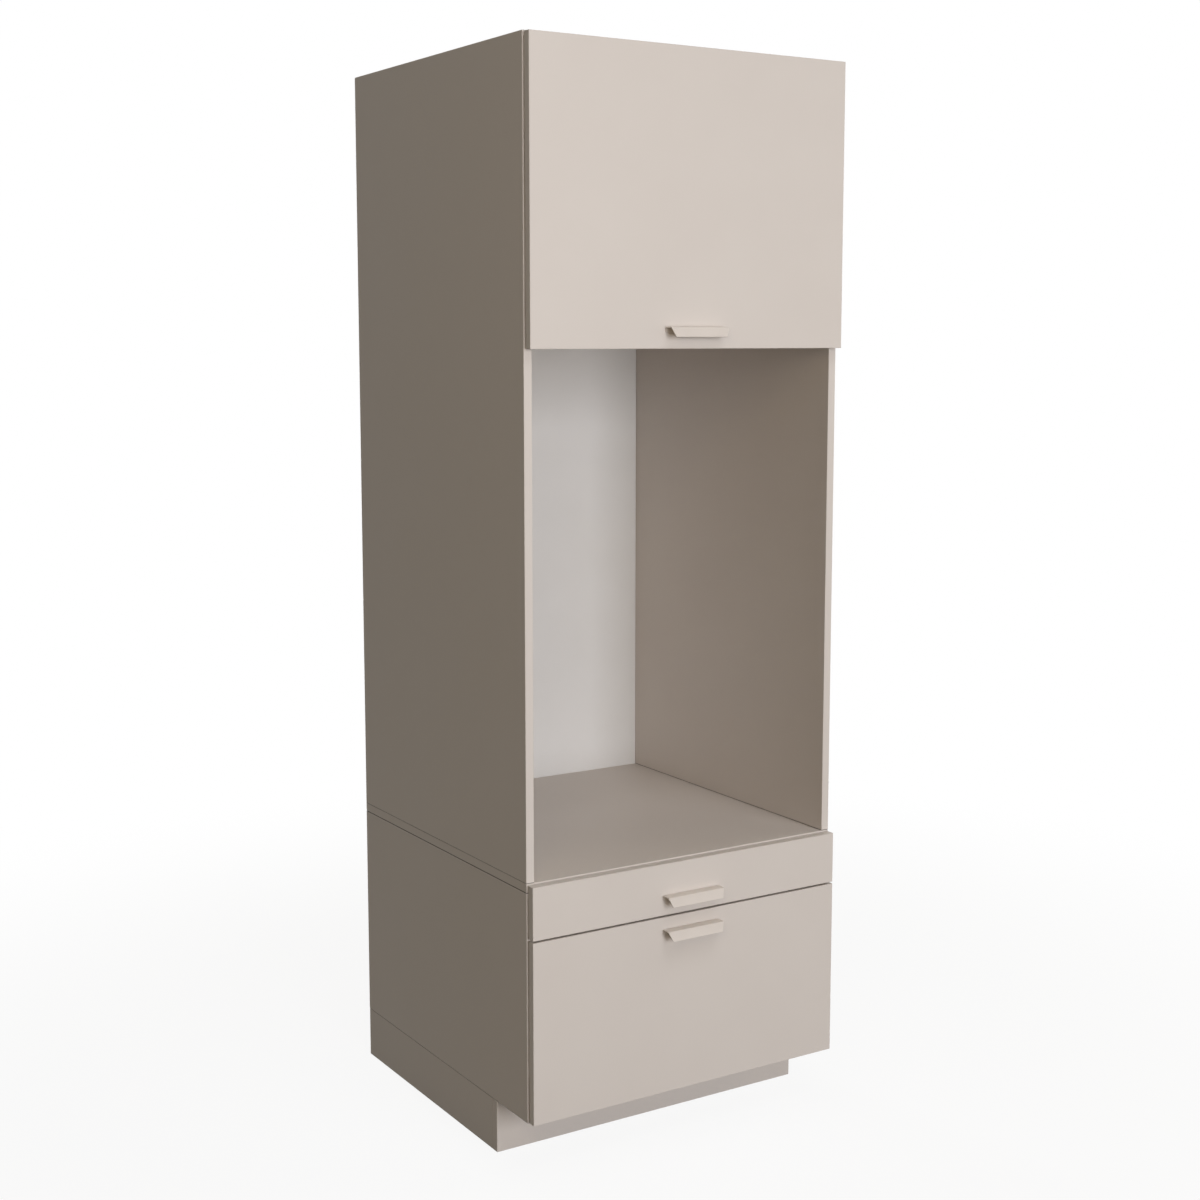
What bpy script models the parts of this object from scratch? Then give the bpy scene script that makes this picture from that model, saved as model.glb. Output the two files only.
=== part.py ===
"""A tall laundry cabinet with an open bay at working height.

A base unit with a drawer and a pull-out board stands on a set-back plinth. The bay's
floor lies across the base unit, and the upper sides stand on it. The cupboard above
the bay has a lift-up flap, with a hinge along its top edge and two gas struts.
Metres, +Z up. The cabinet faces -Y, and its origin is the middle of its footprint.
"""
import math

import bmesh
import bpy
from mathutils import Matrix, Vector

# Overall sizes
CABINET_WIDTH = 0.675
CABINET_HEIGHT = 1.991
SIDE_DEPTH = 0.662
BOARD = 0.016
SEAT_GAP = 0.0003
BOARD_EDGE = 0.0006
OVERRUN = 0.002
MERGE_DISTANCE = 0.00001

# Plinth
PLINTH_HEIGHT = 0.0985
PLINTH_SETBACK = 0.113
PLINTH_REAR_SETBACK = 0.03

# Levels of the carcass
BAY_FLOOR_TOP = 0.5374
CEILING_COVER = 0.002
BASE_RAIL_HEIGHT = 0.09

# Back panels, nailed on behind the boards
BACK_SHEET = 0.003
BACK_EDGE = 0.0004
BACK_INSET = 0.0015
SERVICE_WIDTH = 0.26
SERVICE_HEIGHT = 0.18
SERVICE_RISE = 0.12
SERVICE_SHIFT = 0.1
SERVICE_CORNER = 0.03

# Steel angles that tie the top board to the wall
WALL_ANGLE_LEG = 0.045
WALL_ANGLE_WIDTH = 0.03
WALL_ANGLE_SHEET = 0.0025
WALL_ANGLE_INSET = 0.08

# Fronts
FRONT_STANDOFF = 0.0025
FRONT_REVEAL = 0.0023
FRONT_EDGE = 0.0008
FRONT_GAP = 0.0037
FLAP_HEIGHT = 0.522
FLAP_TOP_REVEAL = 0.0021
FLAP_TOP_CHAMFER = 0.003
PULLOUT_FRONT_HEIGHT = 0.0967
PULLOUT_TOP_REVEAL = 0.0028
DRAWER_BOTTOM_REVEAL = 0.0011

# Handles, bent from one strip
HANDLE_LENGTH = 0.1237
HANDLE_REACH = 0.0193
HANDLE_LIP = 0.0177
HANDLE_LIP_TILT = 0.007
HANDLE_END_SLANT = 0.0065
HANDLE_BACK_LEG = 0.009
HANDLE_SHEET = 0.0018
HANDLE_BEND = 0.0022
HANDLE_RISE = 0.038
DRAWER_HANDLE_DROP = 0.0224

# Cupboard shelf on pins
SHELF_LEVEL_SHARE = 0.5
SHELF_FRONT_SETBACK = 0.04
SHELF_REAR_GAP = 0.004
SHELF_SIDE_PLAY = 0.001
PIN_RADIUS = 0.0025
PIN_FIT = 0.0004
PIN_BORE_DEPTH = 0.011
PIN_INSIDE = 0.0105
PIN_OUTSIDE = 0.009
PIN_FRONT_SETBACK = 0.09
PIN_REAR_SETBACK = 0.1
PIN_PITCH = 0.032
PIN_SPARE_STEPS = 1

# Flap hinge, one long leaf-and-knuckle strip
HINGE_LEAF = 0.0007
HINGE_LEAF_DROP = 0.0125
HINGE_KNUCKLE_RADIUS = 0.0018
HINGE_PIN_RADIUS = 0.0008
HINGE_PIN_FIT = 0.0003
HINGE_END_INSET = 0.0125
HINGE_KNUCKLE_GAP = 0.0004
HINGE_KNUCKLE_COUNT = 11

# Gas struts of the flap
STRUT_BACK = 0.165
STRUT_DROP = 0.04
STRUT_FLAP_DROP = 0.052
STRUT_FLAP_STANDOFF = 0.0145
STRUT_SIDE_GAP = 0.0145
STRUT_TUBE_RADIUS = 0.0075
STRUT_TUBE_WALL = 0.0012
STRUT_TUBE_LENGTH = 0.094
STRUT_CAP = 0.004
STRUT_ROD_RADIUS = 0.003
STRUT_ROD_FIT = 0.0005
STRUT_PISTON_LENGTH = 0.006
STRUT_PISTON_FIT = 0.0005
STRUT_EYE_RADIUS = 0.0068
STRUT_EYE_WIDTH = 0.008
STRUT_STUD_RADIUS = 0.003
STRUT_STUD_FIT = 0.0004
STRUT_PLATE = 0.002
STRUT_PLATE_WIDTH = 0.026
STRUT_PLATE_HEIGHT = 0.04
STRUT_FLAP_PLATE_WIDTH = 0.024
STRUT_EAR = 0.0025
STRUT_EAR_RADIUS = 0.006

# Telescopic runners
RUNNER_SPACE = 0.0127
RUNNER_HEIGHT = 0.045
RUNNER_SHEET = 0.0012
RUNNER_PLAY = 0.0005
RUNNER_SETBACK = 0.004
RUNNER_FLANGE = 0.0088
RUNNER_INNER_FLANGE = 0.0062

# Pull-out board under the bay's floor
PULLOUT_BOARD_DROP = 0.008
PULLOUT_BOARD_DEPTH = 0.49
PULLOUT_CLEAT_HEIGHT = 0.048
PULLOUT_RUNNER_LENGTH = 0.45

# Drawer
DRAWER_BOARD = 0.012
DRAWER_BOX_RISE = 0.014
DRAWER_BOX_HEIGHT = 0.24
DRAWER_BOX_DEPTH = 0.52
DRAWER_BOTTOM_SHEET = 0.008
DRAWER_BOTTOM_RISE = 0.01
DRAWER_RUNNER_LENGTH = 0.5
DRAWER_RUNNER_RISE = 0.06

# Counts of facets and segments
ROUND_SIDES = 16
SMALL_ROUND_SIDES = 12
CORNER_SEGMENTS = 4
BEND_SEGMENTS = 3

# Angles past which an edge is sharp, or is a bend
SHARP_ANGLE = math.radians(40)
BEND_ANGLE = math.radians(30)

# Colours as sRGB, then roughness and metallic
FINISHES = {
    "melamine_board": ((0.82, 0.785, 0.75), 0.5, 0.0),
    "melamine_front": ((0.83, 0.795, 0.76), 0.45, 0.0),
    "back_sheet": ((0.74, 0.71, 0.68), 0.6, 0.0),
    "drawer_board": ((0.84, 0.82, 0.79), 0.55, 0.0),
    "handle_lacquer": ((0.83, 0.795, 0.76), 0.35, 0.0),
    "zinc_steel": ((0.72, 0.73, 0.74), 0.3, 1.0),
    "strut_black": ((0.09, 0.09, 0.095), 0.4, 0.0),
    "strut_rod_chrome": ((0.8, 0.81, 0.83), 0.12, 1.0),
}

# Places worked out from the sizes
BACK_PANEL_REACH = SEAT_GAP + BACK_SHEET
FRONT_REACH = FRONT_STANDOFF + BOARD + SEAT_GAP + HANDLE_REACH + HANDLE_LIP_TILT
CARCASS_FRONT = FRONT_REACH - (FRONT_REACH + SIDE_DEPTH + BACK_PANEL_REACH) / 2
CARCASS_REAR = CARCASS_FRONT + SIDE_DEPTH
FRONT_BACK_FACE = CARCASS_FRONT - FRONT_STANDOFF
FRONT_FACE = FRONT_BACK_FACE - BOARD
HALF_WIDTH = CABINET_WIDTH / 2
INNER_HALF = HALF_WIDTH - BOARD
BETWEEN_SIDES = INNER_HALF - SEAT_GAP
FRONT_HALF = HALF_WIDTH - FRONT_REVEAL
BAY_FLOOR_UNDERSIDE = BAY_FLOOR_TOP - BOARD
FLAP_TOP = CABINET_HEIGHT - FLAP_TOP_REVEAL
FLAP_BOTTOM = FLAP_TOP - FLAP_HEIGHT
CEILING_UNDERSIDE = FLAP_BOTTOM + CEILING_COVER
CEILING_TOP = CEILING_UNDERSIDE + BOARD
TOP_UNDERSIDE = CABINET_HEIGHT - BOARD
PULLOUT_FRONT_TOP = BAY_FLOOR_TOP - PULLOUT_TOP_REVEAL
PULLOUT_FRONT_BOTTOM = PULLOUT_FRONT_TOP - PULLOUT_FRONT_HEIGHT
DRAWER_FRONT_TOP = PULLOUT_FRONT_BOTTOM - FRONT_GAP
DRAWER_FRONT_BOTTOM = PLINTH_HEIGHT + DRAWER_BOTTOM_REVEAL
RUNNER_BOX_HALF = INNER_HALF - RUNNER_SPACE
HINGE_AXIS = Vector((
    0,
    CARCASS_FRONT - SEAT_GAP - HINGE_KNUCKLE_RADIUS,
    CABINET_HEIGHT - HINGE_KNUCKLE_RADIUS,
))
SIDES = (("left", -1), ("right", 1))
ALONG_X = Matrix.Rotation(math.pi / 2, 4, "Y")


def srgb_to_linear(value):
    return value / 12.92 if value <= 0.04045 else ((value + 0.055) / 1.055) ** 2.4


def clear_scene():
    for item in list(bpy.data.objects):
        bpy.data.objects.remove(item)


def new_collection(name):
    group = bpy.data.collections.new(name)
    bpy.context.scene.collection.children.link(group)
    return group


def new_material(name):
    colour, roughness, metallic = FINISHES[name]
    material = bpy.data.materials.new(name)
    material.use_nodes = True
    shader = material.node_tree.nodes["Principled BSDF"]
    linear = [srgb_to_linear(channel) for channel in colour]
    shader.inputs["Base Color"].default_value = (*linear, 1.0)
    shader.inputs["Roughness"].default_value = roughness
    shader.inputs["Metallic"].default_value = metallic
    material.diffuse_color = (*linear, 1.0)
    return material


clear_scene()
PARTS = new_collection("washing_machine_cabinet")
CUTTERS = new_collection("cutters")


def finish_object(name, bm, finish):
    """Makes an object with a material of its own from a bmesh."""
    mesh = bpy.data.meshes.new(name)
    bmesh.ops.recalc_face_normals(bm, faces=bm.faces)
    bm.to_mesh(mesh)
    bm.free()
    item = bpy.data.objects.new(name, mesh)
    PARTS.objects.link(item)
    material = new_material(finish)
    material.name = name + "_" + finish
    mesh.materials.append(material)
    return item


def make_guide(item):
    """Puts an object among the cutters, where it shapes others and isn't a piece."""
    PARTS.objects.unlink(item)
    CUTTERS.objects.link(item)
    item.hide_render = True
    item.display_type = "WIRE"


def box_mesh(low, high):
    low, high = Vector(low), Vector(high)
    bm = bmesh.new()
    bmesh.ops.create_cube(bm, size=1.0)
    bmesh.ops.scale(bm, vec=high - low, verts=bm.verts)
    return bm, (low + high) / 2


def add_bevel(item, width, segments=1, angle_limit=None):
    bevel = item.modifiers.new("edges", "BEVEL")
    bevel.width = width
    bevel.segments = segments
    if angle_limit is not None:
        bevel.limit_method = "ANGLE"
        bevel.angle_limit = angle_limit
    else:
        bevel.limit_method = "NONE"


def add_boolean(item, other, operation):
    """Cuts or joins an object with another, which becomes a guide."""
    step = item.modifiers.new(operation.lower(), "BOOLEAN")
    step.operation = operation
    step.solver = "EXACT"
    step.object = other
    make_guide(other)


def make_board(name, low, high, finish="melamine_board", edge=BOARD_EDGE):
    """A board between two corners, with its edges just broken."""
    bm, middle = box_mesh(low, high)
    item = finish_object(name, bm, finish)
    item.location = middle
    if edge:
        add_bevel(item, edge)
    return item


def add_rod(bm, radius, length, middle=(0, 0, 0), sides=SMALL_ROUND_SIDES):
    """Adds a straight round rod along X to a bmesh."""
    made = bmesh.ops.create_cone(
        bm, cap_ends=True, segments=sides, radius1=radius, radius2=radius, depth=length
    )
    place = Matrix.Translation(middle) @ ALONG_X
    bmesh.ops.transform(bm, matrix=place, verts=made["verts"])


def rods_object(name, bm, finish):
    item = finish_object(name, bm, finish)
    item.data.shade_smooth()
    item.data.set_sharp_from_angle(angle=SHARP_ANGLE)
    return item


def make_rod(name, radius, length, finish, sides=SMALL_ROUND_SIDES):
    """An object that is one such rod about its own middle."""
    bm = bmesh.new()
    add_rod(bm, radius, length, sides=sides)
    return rods_object(name, bm, finish)


def make_empty(name, place):
    pivot = bpy.data.objects.new(name, None)
    pivot.location = place
    PARTS.objects.link(pivot)
    return pivot


def hang_on(pivot, *items):
    """Parents pieces, and the guides that shape them, to a pivot that isn't turned."""
    guides = [step.object for item in items for step in item.modifiers if step.type == "BOOLEAN"]
    for item in (*items, *guides):
        item.location = item.location - pivot.location
        item.parent = pivot


def add_sheet(item, thickness):
    """Thickens an open surface evenly to both sides."""
    shell = item.modifiers.new("sheet", "SOLIDIFY")
    shell.thickness = thickness
    shell.offset = 0
    shell.use_even_offset = True


def extruded_strip(name, points, low, high, sheet, finish):
    """A bent strip: the middle line of its section in X and Z, drawn along Y."""
    bm = bmesh.new()
    starts = [bm.verts.new((x, low, z)) for x, z in points]
    edges = [bm.edges.new(pair) for pair in zip(starts, starts[1:])]
    made = bmesh.ops.extrude_edge_only(bm, edges=edges)
    ends = [part for part in made["geom"] if isinstance(part, bmesh.types.BMVert)]
    bmesh.ops.translate(bm, vec=(0, high - low, 0), verts=ends)
    item = finish_object(name, bm, finish)
    add_sheet(item, sheet)
    return item


def build_plinth():
    front = CARCASS_FRONT + PLINTH_SETBACK
    rear = CARCASS_REAR - PLINTH_REAR_SETBACK
    top = PLINTH_HEIGHT - SEAT_GAP
    behind = front + BOARD + SEAT_GAP
    make_board("plinth_front", (-HALF_WIDTH, front, 0), (HALF_WIDTH, front + BOARD, top))
    for name, sign in SIDES:
        edges = sorted((sign * HALF_WIDTH, sign * INNER_HALF))
        make_board(f"plinth_{name}", (edges[0], behind, 0), (edges[1], CARCASS_REAR, top))
    make_board("plinth_rear", (-BETWEEN_SIDES, rear - BOARD, 0), (BETWEEN_SIDES, rear, top))


def build_base_unit():
    side_top = BAY_FLOOR_UNDERSIDE - SEAT_GAP
    for name, sign in SIDES:
        edges = sorted((sign * HALF_WIDTH, sign * INNER_HALF))
        make_board(
            f"base_{name}_side",
            (edges[0], CARCASS_FRONT, PLINTH_HEIGHT),
            (edges[1], CARCASS_REAR, side_top),
        )
    make_board(
        "base_bottom",
        (-BETWEEN_SIDES, CARCASS_FRONT, PLINTH_HEIGHT),
        (BETWEEN_SIDES, CARCASS_REAR, PLINTH_HEIGHT + BOARD),
    )
    make_board(
        "base_rear_rail",
        (-BETWEEN_SIDES, CARCASS_REAR - BOARD, side_top - BASE_RAIL_HEIGHT),
        (BETWEEN_SIDES, CARCASS_REAR, side_top),
    )
    make_board(
        "bay_floor",
        (-HALF_WIDTH, CARCASS_FRONT, BAY_FLOOR_UNDERSIDE),
        (HALF_WIDTH, CARCASS_REAR, BAY_FLOOR_TOP - SEAT_GAP),
    )
    make_board(
        "base_back_panel",
        (-HALF_WIDTH + BACK_INSET, CARCASS_REAR + SEAT_GAP, PLINTH_HEIGHT + BACK_INSET),
        (HALF_WIDTH - BACK_INSET, CARCASS_REAR + BACK_PANEL_REACH, side_top - BACK_INSET),
        "back_sheet",
        BACK_EDGE,
    )


def pin_level():
    """Height of the pins' middle line: the shelf lies on their tops."""
    clear = TOP_UNDERSIDE - CEILING_TOP
    return CEILING_TOP + clear * SHELF_LEVEL_SHARE - BOARD / 2 - SEAT_GAP - PIN_RADIUS


def pin_rows():
    return CARCASS_FRONT + PIN_FRONT_SETBACK, CARCASS_REAR - PIN_REAR_SETBACK


def drill_pin_bores(side, name, sign):
    """Bores for the shelf's pins: the row in use and the spare ones above and below."""
    bm = bmesh.new()
    steps = range(-PIN_SPARE_STEPS, PIN_SPARE_STEPS + 1)
    depth = PIN_BORE_DEPTH + OVERRUN
    middle_x = sign * (INNER_HALF + (PIN_BORE_DEPTH - OVERRUN) / 2)
    for step in steps:
        for row in pin_rows():
            middle = (middle_x, row, pin_level() + step * PIN_PITCH)
            add_rod(bm, PIN_RADIUS + PIN_FIT, depth, middle)
    add_boolean(side, rods_object(f"{name}_pin_bores", bm, "zinc_steel"), "DIFFERENCE")


def build_upper_carcass():
    for name, sign in SIDES:
        edges = sorted((sign * HALF_WIDTH, sign * INNER_HALF))
        side = make_board(
            f"upper_{name}_side",
            (edges[0], CARCASS_FRONT, BAY_FLOOR_TOP),
            (edges[1], CARCASS_REAR, CABINET_HEIGHT),
        )
        drill_pin_bores(side, name, sign)
    make_board(
        "top_board",
        (-BETWEEN_SIDES, CARCASS_FRONT, TOP_UNDERSIDE),
        (BETWEEN_SIDES, CARCASS_REAR, CABINET_HEIGHT),
    )
    make_board(
        "bay_ceiling",
        (-BETWEEN_SIDES, CARCASS_FRONT, CEILING_UNDERSIDE),
        (BETWEEN_SIDES, CARCASS_REAR, CEILING_TOP),
    )


def build_upper_back_panel():
    """One thin sheet behind the bay and the cupboard, with a service hole left of its middle."""
    panel = make_board(
        "upper_back_panel",
        (-HALF_WIDTH + BACK_INSET, CARCASS_REAR + SEAT_GAP, BAY_FLOOR_UNDERSIDE + BACK_INSET),
        (HALF_WIDTH - BACK_INSET, CARCASS_REAR + BACK_PANEL_REACH, CABINET_HEIGHT - BACK_INSET),
        "back_sheet",
        BACK_EDGE,
    )
    left = -SERVICE_SHIFT - SERVICE_WIDTH / 2
    bottom = BAY_FLOOR_TOP + SERVICE_RISE
    low = (left, CARCASS_REAR + SEAT_GAP - OVERRUN, bottom)
    high = (left + SERVICE_WIDTH, CARCASS_REAR + BACK_PANEL_REACH + OVERRUN, bottom + SERVICE_HEIGHT)
    bm, middle = box_mesh(low, high)
    along = [edge for edge in bm.edges if abs((edge.verts[0].co - edge.verts[1].co).y) > OVERRUN]
    bmesh.ops.bevel(
        bm, geom=along, offset=SERVICE_CORNER, segments=CORNER_SEGMENTS,
        affect="EDGES", profile=0.5,
    )
    cutter = finish_object("service_hole", bm, "back_sheet")
    cutter.location = middle
    add_boolean(panel, cutter, "DIFFERENCE")


def build_wall_angles():
    """Two steel angles under the top board, through which it is screwed to the wall."""
    rear = CARCASS_REAR
    top = TOP_UNDERSIDE - SEAT_GAP
    middle = INNER_HALF - WALL_ANGLE_INSET
    for name, sign in SIDES:
        left = sign * middle - WALL_ANGLE_WIDTH / 2
        right = sign * middle + WALL_ANGLE_WIDTH / 2
        angle = make_board(
            f"wall_angle_{name}",
            (left, rear - WALL_ANGLE_LEG, top - WALL_ANGLE_SHEET),
            (right, rear, top),
            "zinc_steel",
            edge=0,
        )
        leg = make_board(
            f"wall_angle_leg_{name}",
            (left, rear - WALL_ANGLE_SHEET, top - WALL_ANGLE_LEG),
            (right, rear, top),
            "zinc_steel",
            edge=0,
        )
        add_boolean(angle, leg, "UNION")


def build_cupboard_shelf():
    level = pin_level()
    underside = level + PIN_RADIUS + SEAT_GAP
    half = INNER_HALF - SHELF_SIDE_PLAY
    make_board(
        "cupboard_shelf",
        (-half, CARCASS_FRONT + SHELF_FRONT_SETBACK, underside),
        (half, CARCASS_REAR - SHELF_REAR_GAP, underside + BOARD),
    )
    middle_x = INNER_HALF + (PIN_INSIDE - PIN_OUTSIDE) / 2
    for name, sign in SIDES:
        for place, row in zip(("front", "rear"), pin_rows()):
            pin_name = f"shelf_pin_{name}_{place}"
            pin = make_rod(pin_name, PIN_RADIUS, PIN_INSIDE + PIN_OUTSIDE, "zinc_steel")
            pin.location = (sign * middle_x, row, level)


def make_front(name, bottom, top, chamfer=False):
    """A front board. The flap's has its top back edge taken off to house the knuckles."""
    low, high = (-FRONT_HALF, FRONT_FACE, bottom), (FRONT_HALF, FRONT_BACK_FACE, top)
    bm, middle = box_mesh(low, high)
    if chamfer:
        corner = [
            edge for edge in bm.edges
            if all(vert.co.y > 0 and vert.co.z > 0 for vert in edge.verts)
        ]
        bmesh.ops.bevel(
            bm, geom=corner, offset=FLAP_TOP_CHAMFER, segments=1, affect="EDGES", profile=0.5
        )
    item = finish_object(name, bm, "melamine_front")
    item.location = middle
    add_bevel(item, FRONT_EDGE)
    return item


def make_handle(name, top):
    """A strip bent twice: a leg on the front, a flange out from it and a tilted lip."""
    half_sheet = HANDLE_SHEET / 2
    back = FRONT_FACE - SEAT_GAP - half_sheet
    reach = HANDLE_REACH - HANDLE_SHEET
    stages = (
        (0, half_sheet - HANDLE_BACK_LEG, 0),
        (0, 0, 0),
        (-reach, 0, 0),
        (-reach - HANDLE_LIP_TILT, half_sheet - HANDLE_LIP, HANDLE_END_SLANT),
    )
    bm = bmesh.new()
    rails = []
    for out, rise, slant in stages:
        half = HANDLE_LENGTH / 2 - slant
        rails.append([bm.verts.new((end * half, out, rise)) for end in (-1, 1)])
    for (a, b), (c, d) in zip(rails, rails[1:]):
        bm.faces.new((a, b, d, c))
    item = finish_object(name, bm, "handle_lacquer")
    item.location = (0, back, top - half_sheet)
    add_bevel(item, HANDLE_BEND, BEND_SEGMENTS, BEND_ANGLE)
    add_sheet(item, HANDLE_SHEET)
    return item


def knuckle_spans():
    """The stretch along X of each knuckle of the hinge, from left to right."""
    half = FRONT_HALF - HINGE_END_INSET
    pitch = (2 * half + HINGE_KNUCKLE_GAP) / HINGE_KNUCKLE_COUNT
    starts = [-half + index * pitch for index in range(HINGE_KNUCKLE_COUNT)]
    return [(start, start + pitch - HINGE_KNUCKLE_GAP) for start in starts]


def make_hinge_leaf(name, near_y, first):
    """A leaf with every second knuckle, and the bore of the pin through them."""
    half = FRONT_HALF - HINGE_END_INSET
    low = (-half, near_y, HINGE_AXIS.z - HINGE_LEAF_DROP)
    high = (half, near_y + HINGE_LEAF, HINGE_AXIS.z - HINGE_PIN_RADIUS - HINGE_PIN_FIT)
    leaf = make_board(name, low, high, "zinc_steel", edge=0)
    knuckles = bmesh.new()
    notches = bmesh.new()
    room = HINGE_KNUCKLE_RADIUS + HINGE_KNUCKLE_GAP
    for index, (start, end) in enumerate(knuckle_spans()):
        middle = ((start + end) / 2, HINGE_AXIS.y, HINGE_AXIS.z)
        if index % 2 == first:
            add_rod(knuckles, HINGE_KNUCKLE_RADIUS, end - start, middle)
        else:
            add_rod(notches, room, end - start + 2 * HINGE_KNUCKLE_GAP, middle)
    add_boolean(leaf, rods_object(f"{name}_notches", notches, "zinc_steel"), "DIFFERENCE")
    add_boolean(leaf, rods_object(f"{name}_knuckles", knuckles, "zinc_steel"), "UNION")
    bore_length = 2 * half + OVERRUN
    bore = make_rod(f"{name}_bore", HINGE_PIN_RADIUS + HINGE_PIN_FIT, bore_length, "zinc_steel")
    bore.location = HINGE_AXIS
    add_boolean(leaf, bore, "DIFFERENCE")
    return leaf


def build_flap():
    pivot = make_empty("flap_pivot", HINGE_AXIS)
    panel = make_front("flap_panel", FLAP_BOTTOM, FLAP_TOP, chamfer=True)
    handle = make_handle("flap_handle", FLAP_BOTTOM + HANDLE_RISE)
    make_hinge_leaf("hinge_leaf_carcass", CARCASS_FRONT - SEAT_GAP - HINGE_LEAF, 0)
    flap_leaf = make_hinge_leaf("hinge_leaf_flap", FRONT_BACK_FACE + SEAT_GAP, 1)
    pin_length = 2 * (FRONT_HALF - HINGE_END_INSET)
    pin = make_rod("hinge_pin", HINGE_PIN_RADIUS, pin_length, "zinc_steel")
    pin.location = HINGE_AXIS
    hang_on(pivot, panel, handle, flap_leaf)
    return pivot


def strut_ends():
    """Pivot on the side board and stud on the flap, as distances in Y and Z."""
    back = Vector((0, HINGE_AXIS.y + STRUT_BACK, HINGE_AXIS.z - STRUT_DROP))
    flap = Vector((0, FRONT_BACK_FACE + STRUT_FLAP_STANDOFF, HINGE_AXIS.z - STRUT_FLAP_DROP))
    return back, flap


def strut_turn():
    """Turns +Z to the line from the side board's pivot to the flap's stud."""
    back, flap = strut_ends()
    return Vector((0, 0, 1)).rotation_difference(flap - back).to_euler()


def turned_profile(name, profile, finish):
    """A profile in X and Z from axis to axis, turned about Z. It runs down its outer side."""
    bm = bmesh.new()
    points = [bm.verts.new((radius, 0, rise)) for radius, rise in profile]
    for pair in zip(points, points[1:]):
        bm.edges.new(pair)
    item = finish_object(name, bm, finish)
    screw = item.modifiers.new("turn", "SCREW")
    screw.axis = "Z"
    screw.steps = ROUND_SIDES
    screw.render_steps = ROUND_SIDES
    screw.use_merge_vertices = True
    screw.merge_threshold = MERGE_DISTANCE
    return item


def make_strut_tube(name):
    """The pressure tube, turned about its line, with the bored eye of its closed end."""
    outer, bore = STRUT_TUBE_RADIUS, STRUT_TUBE_RADIUS - STRUT_TUBE_WALL
    start = STRUT_EYE_RADIUS - STRUT_TUBE_WALL
    end = start + STRUT_TUBE_LENGTH
    mouth = STRUT_ROD_RADIUS + STRUT_ROD_FIT
    profile = [
        (0, start + STRUT_CAP), (bore, start + STRUT_CAP), (bore, end - STRUT_CAP),
        (mouth, end - STRUT_CAP), (mouth, end), (outer, end), (outer, start), (0, start),
    ]
    tube = turned_profile(name, profile, "strut_black")
    eye = make_rod(
        f"{name}_eye", STRUT_EYE_RADIUS, STRUT_EYE_WIDTH, "strut_black", ROUND_SIDES
    )
    eye_bore = make_rod(
        f"{name}_eye_bore", STRUT_STUD_RADIUS + STRUT_STUD_FIT, STRUT_EYE_WIDTH + OVERRUN,
        "strut_black",
    )
    add_boolean(tube, eye, "UNION")
    add_boolean(tube, eye_bore, "DIFFERENCE")
    return tube, eye, eye_bore


def make_strut_rod(name, length):
    """The polished rod with its piston in the tube and the end fitting at the flap."""
    inner = STRUT_EYE_RADIUS - STRUT_TUBE_WALL + STRUT_CAP + STRUT_PISTON_FIT
    piston = STRUT_TUBE_RADIUS - STRUT_TUBE_WALL - STRUT_PISTON_FIT
    neck = length - STRUT_EYE_RADIUS + STRUT_TUBE_WALL
    profile = [
        (0, neck), (STRUT_ROD_RADIUS, neck), (STRUT_ROD_RADIUS, inner + STRUT_PISTON_LENGTH),
        (piston, inner + STRUT_PISTON_LENGTH), (piston, inner), (0, inner),
    ]
    rod = turned_profile(name, profile, "strut_rod_chrome")
    fitting = make_rod(
        f"{name}_end", STRUT_EYE_RADIUS, STRUT_EYE_WIDTH, "strut_black", ROUND_SIDES
    )
    fitting.location = (0, 0, length)
    add_boolean(rod, fitting, "UNION")
    return rod, fitting


def build_struts(flap_pivot):
    back, flap = strut_ends()
    turn = strut_turn()
    strut_x = INNER_HALF - STRUT_SIDE_GAP
    for name, sign in SIDES:
        place = Vector((sign * strut_x, 0, 0))
        pivot = make_empty(f"strut_pivot_{name}", place + back)
        pivot.rotation_euler = turn
        tube_items = make_strut_tube(f"strut_tube_{name}")
        rod_items = make_strut_rod(f"strut_rod_{name}", (flap - back).length)
        for item in (*tube_items, *rod_items):
            item.parent = pivot
        build_strut_side_bracket(name, sign, back)
        hang_on(flap_pivot, make_strut_flap_bracket(name, sign, flap))


def build_strut_side_bracket(name, sign, back):
    """A plate on the side board with the stud that carries the tube's eye."""
    face = INNER_HALF - SEAT_GAP
    inner = face - STRUT_PLATE
    edges = sorted((sign * face, sign * inner))
    plate = make_board(
        f"strut_side_bracket_{name}",
        (edges[0], back.y - STRUT_PLATE_WIDTH / 2, back.z - STRUT_PLATE_HEIGHT / 2),
        (edges[1], back.y + STRUT_PLATE_WIDTH / 2, back.z + STRUT_PLATE_HEIGHT / 2),
        "zinc_steel",
        edge=0,
    )
    far = INNER_HALF - STRUT_SIDE_GAP - STRUT_EYE_WIDTH / 2 - STRUT_PLATE
    start = inner + STRUT_PLATE / 2
    stud = make_rod(f"strut_side_stud_{name}", STRUT_STUD_RADIUS, start - far, "zinc_steel")
    stud.location = (sign * (start + far) / 2, back.y, back.z)
    add_boolean(plate, stud, "UNION")


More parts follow.
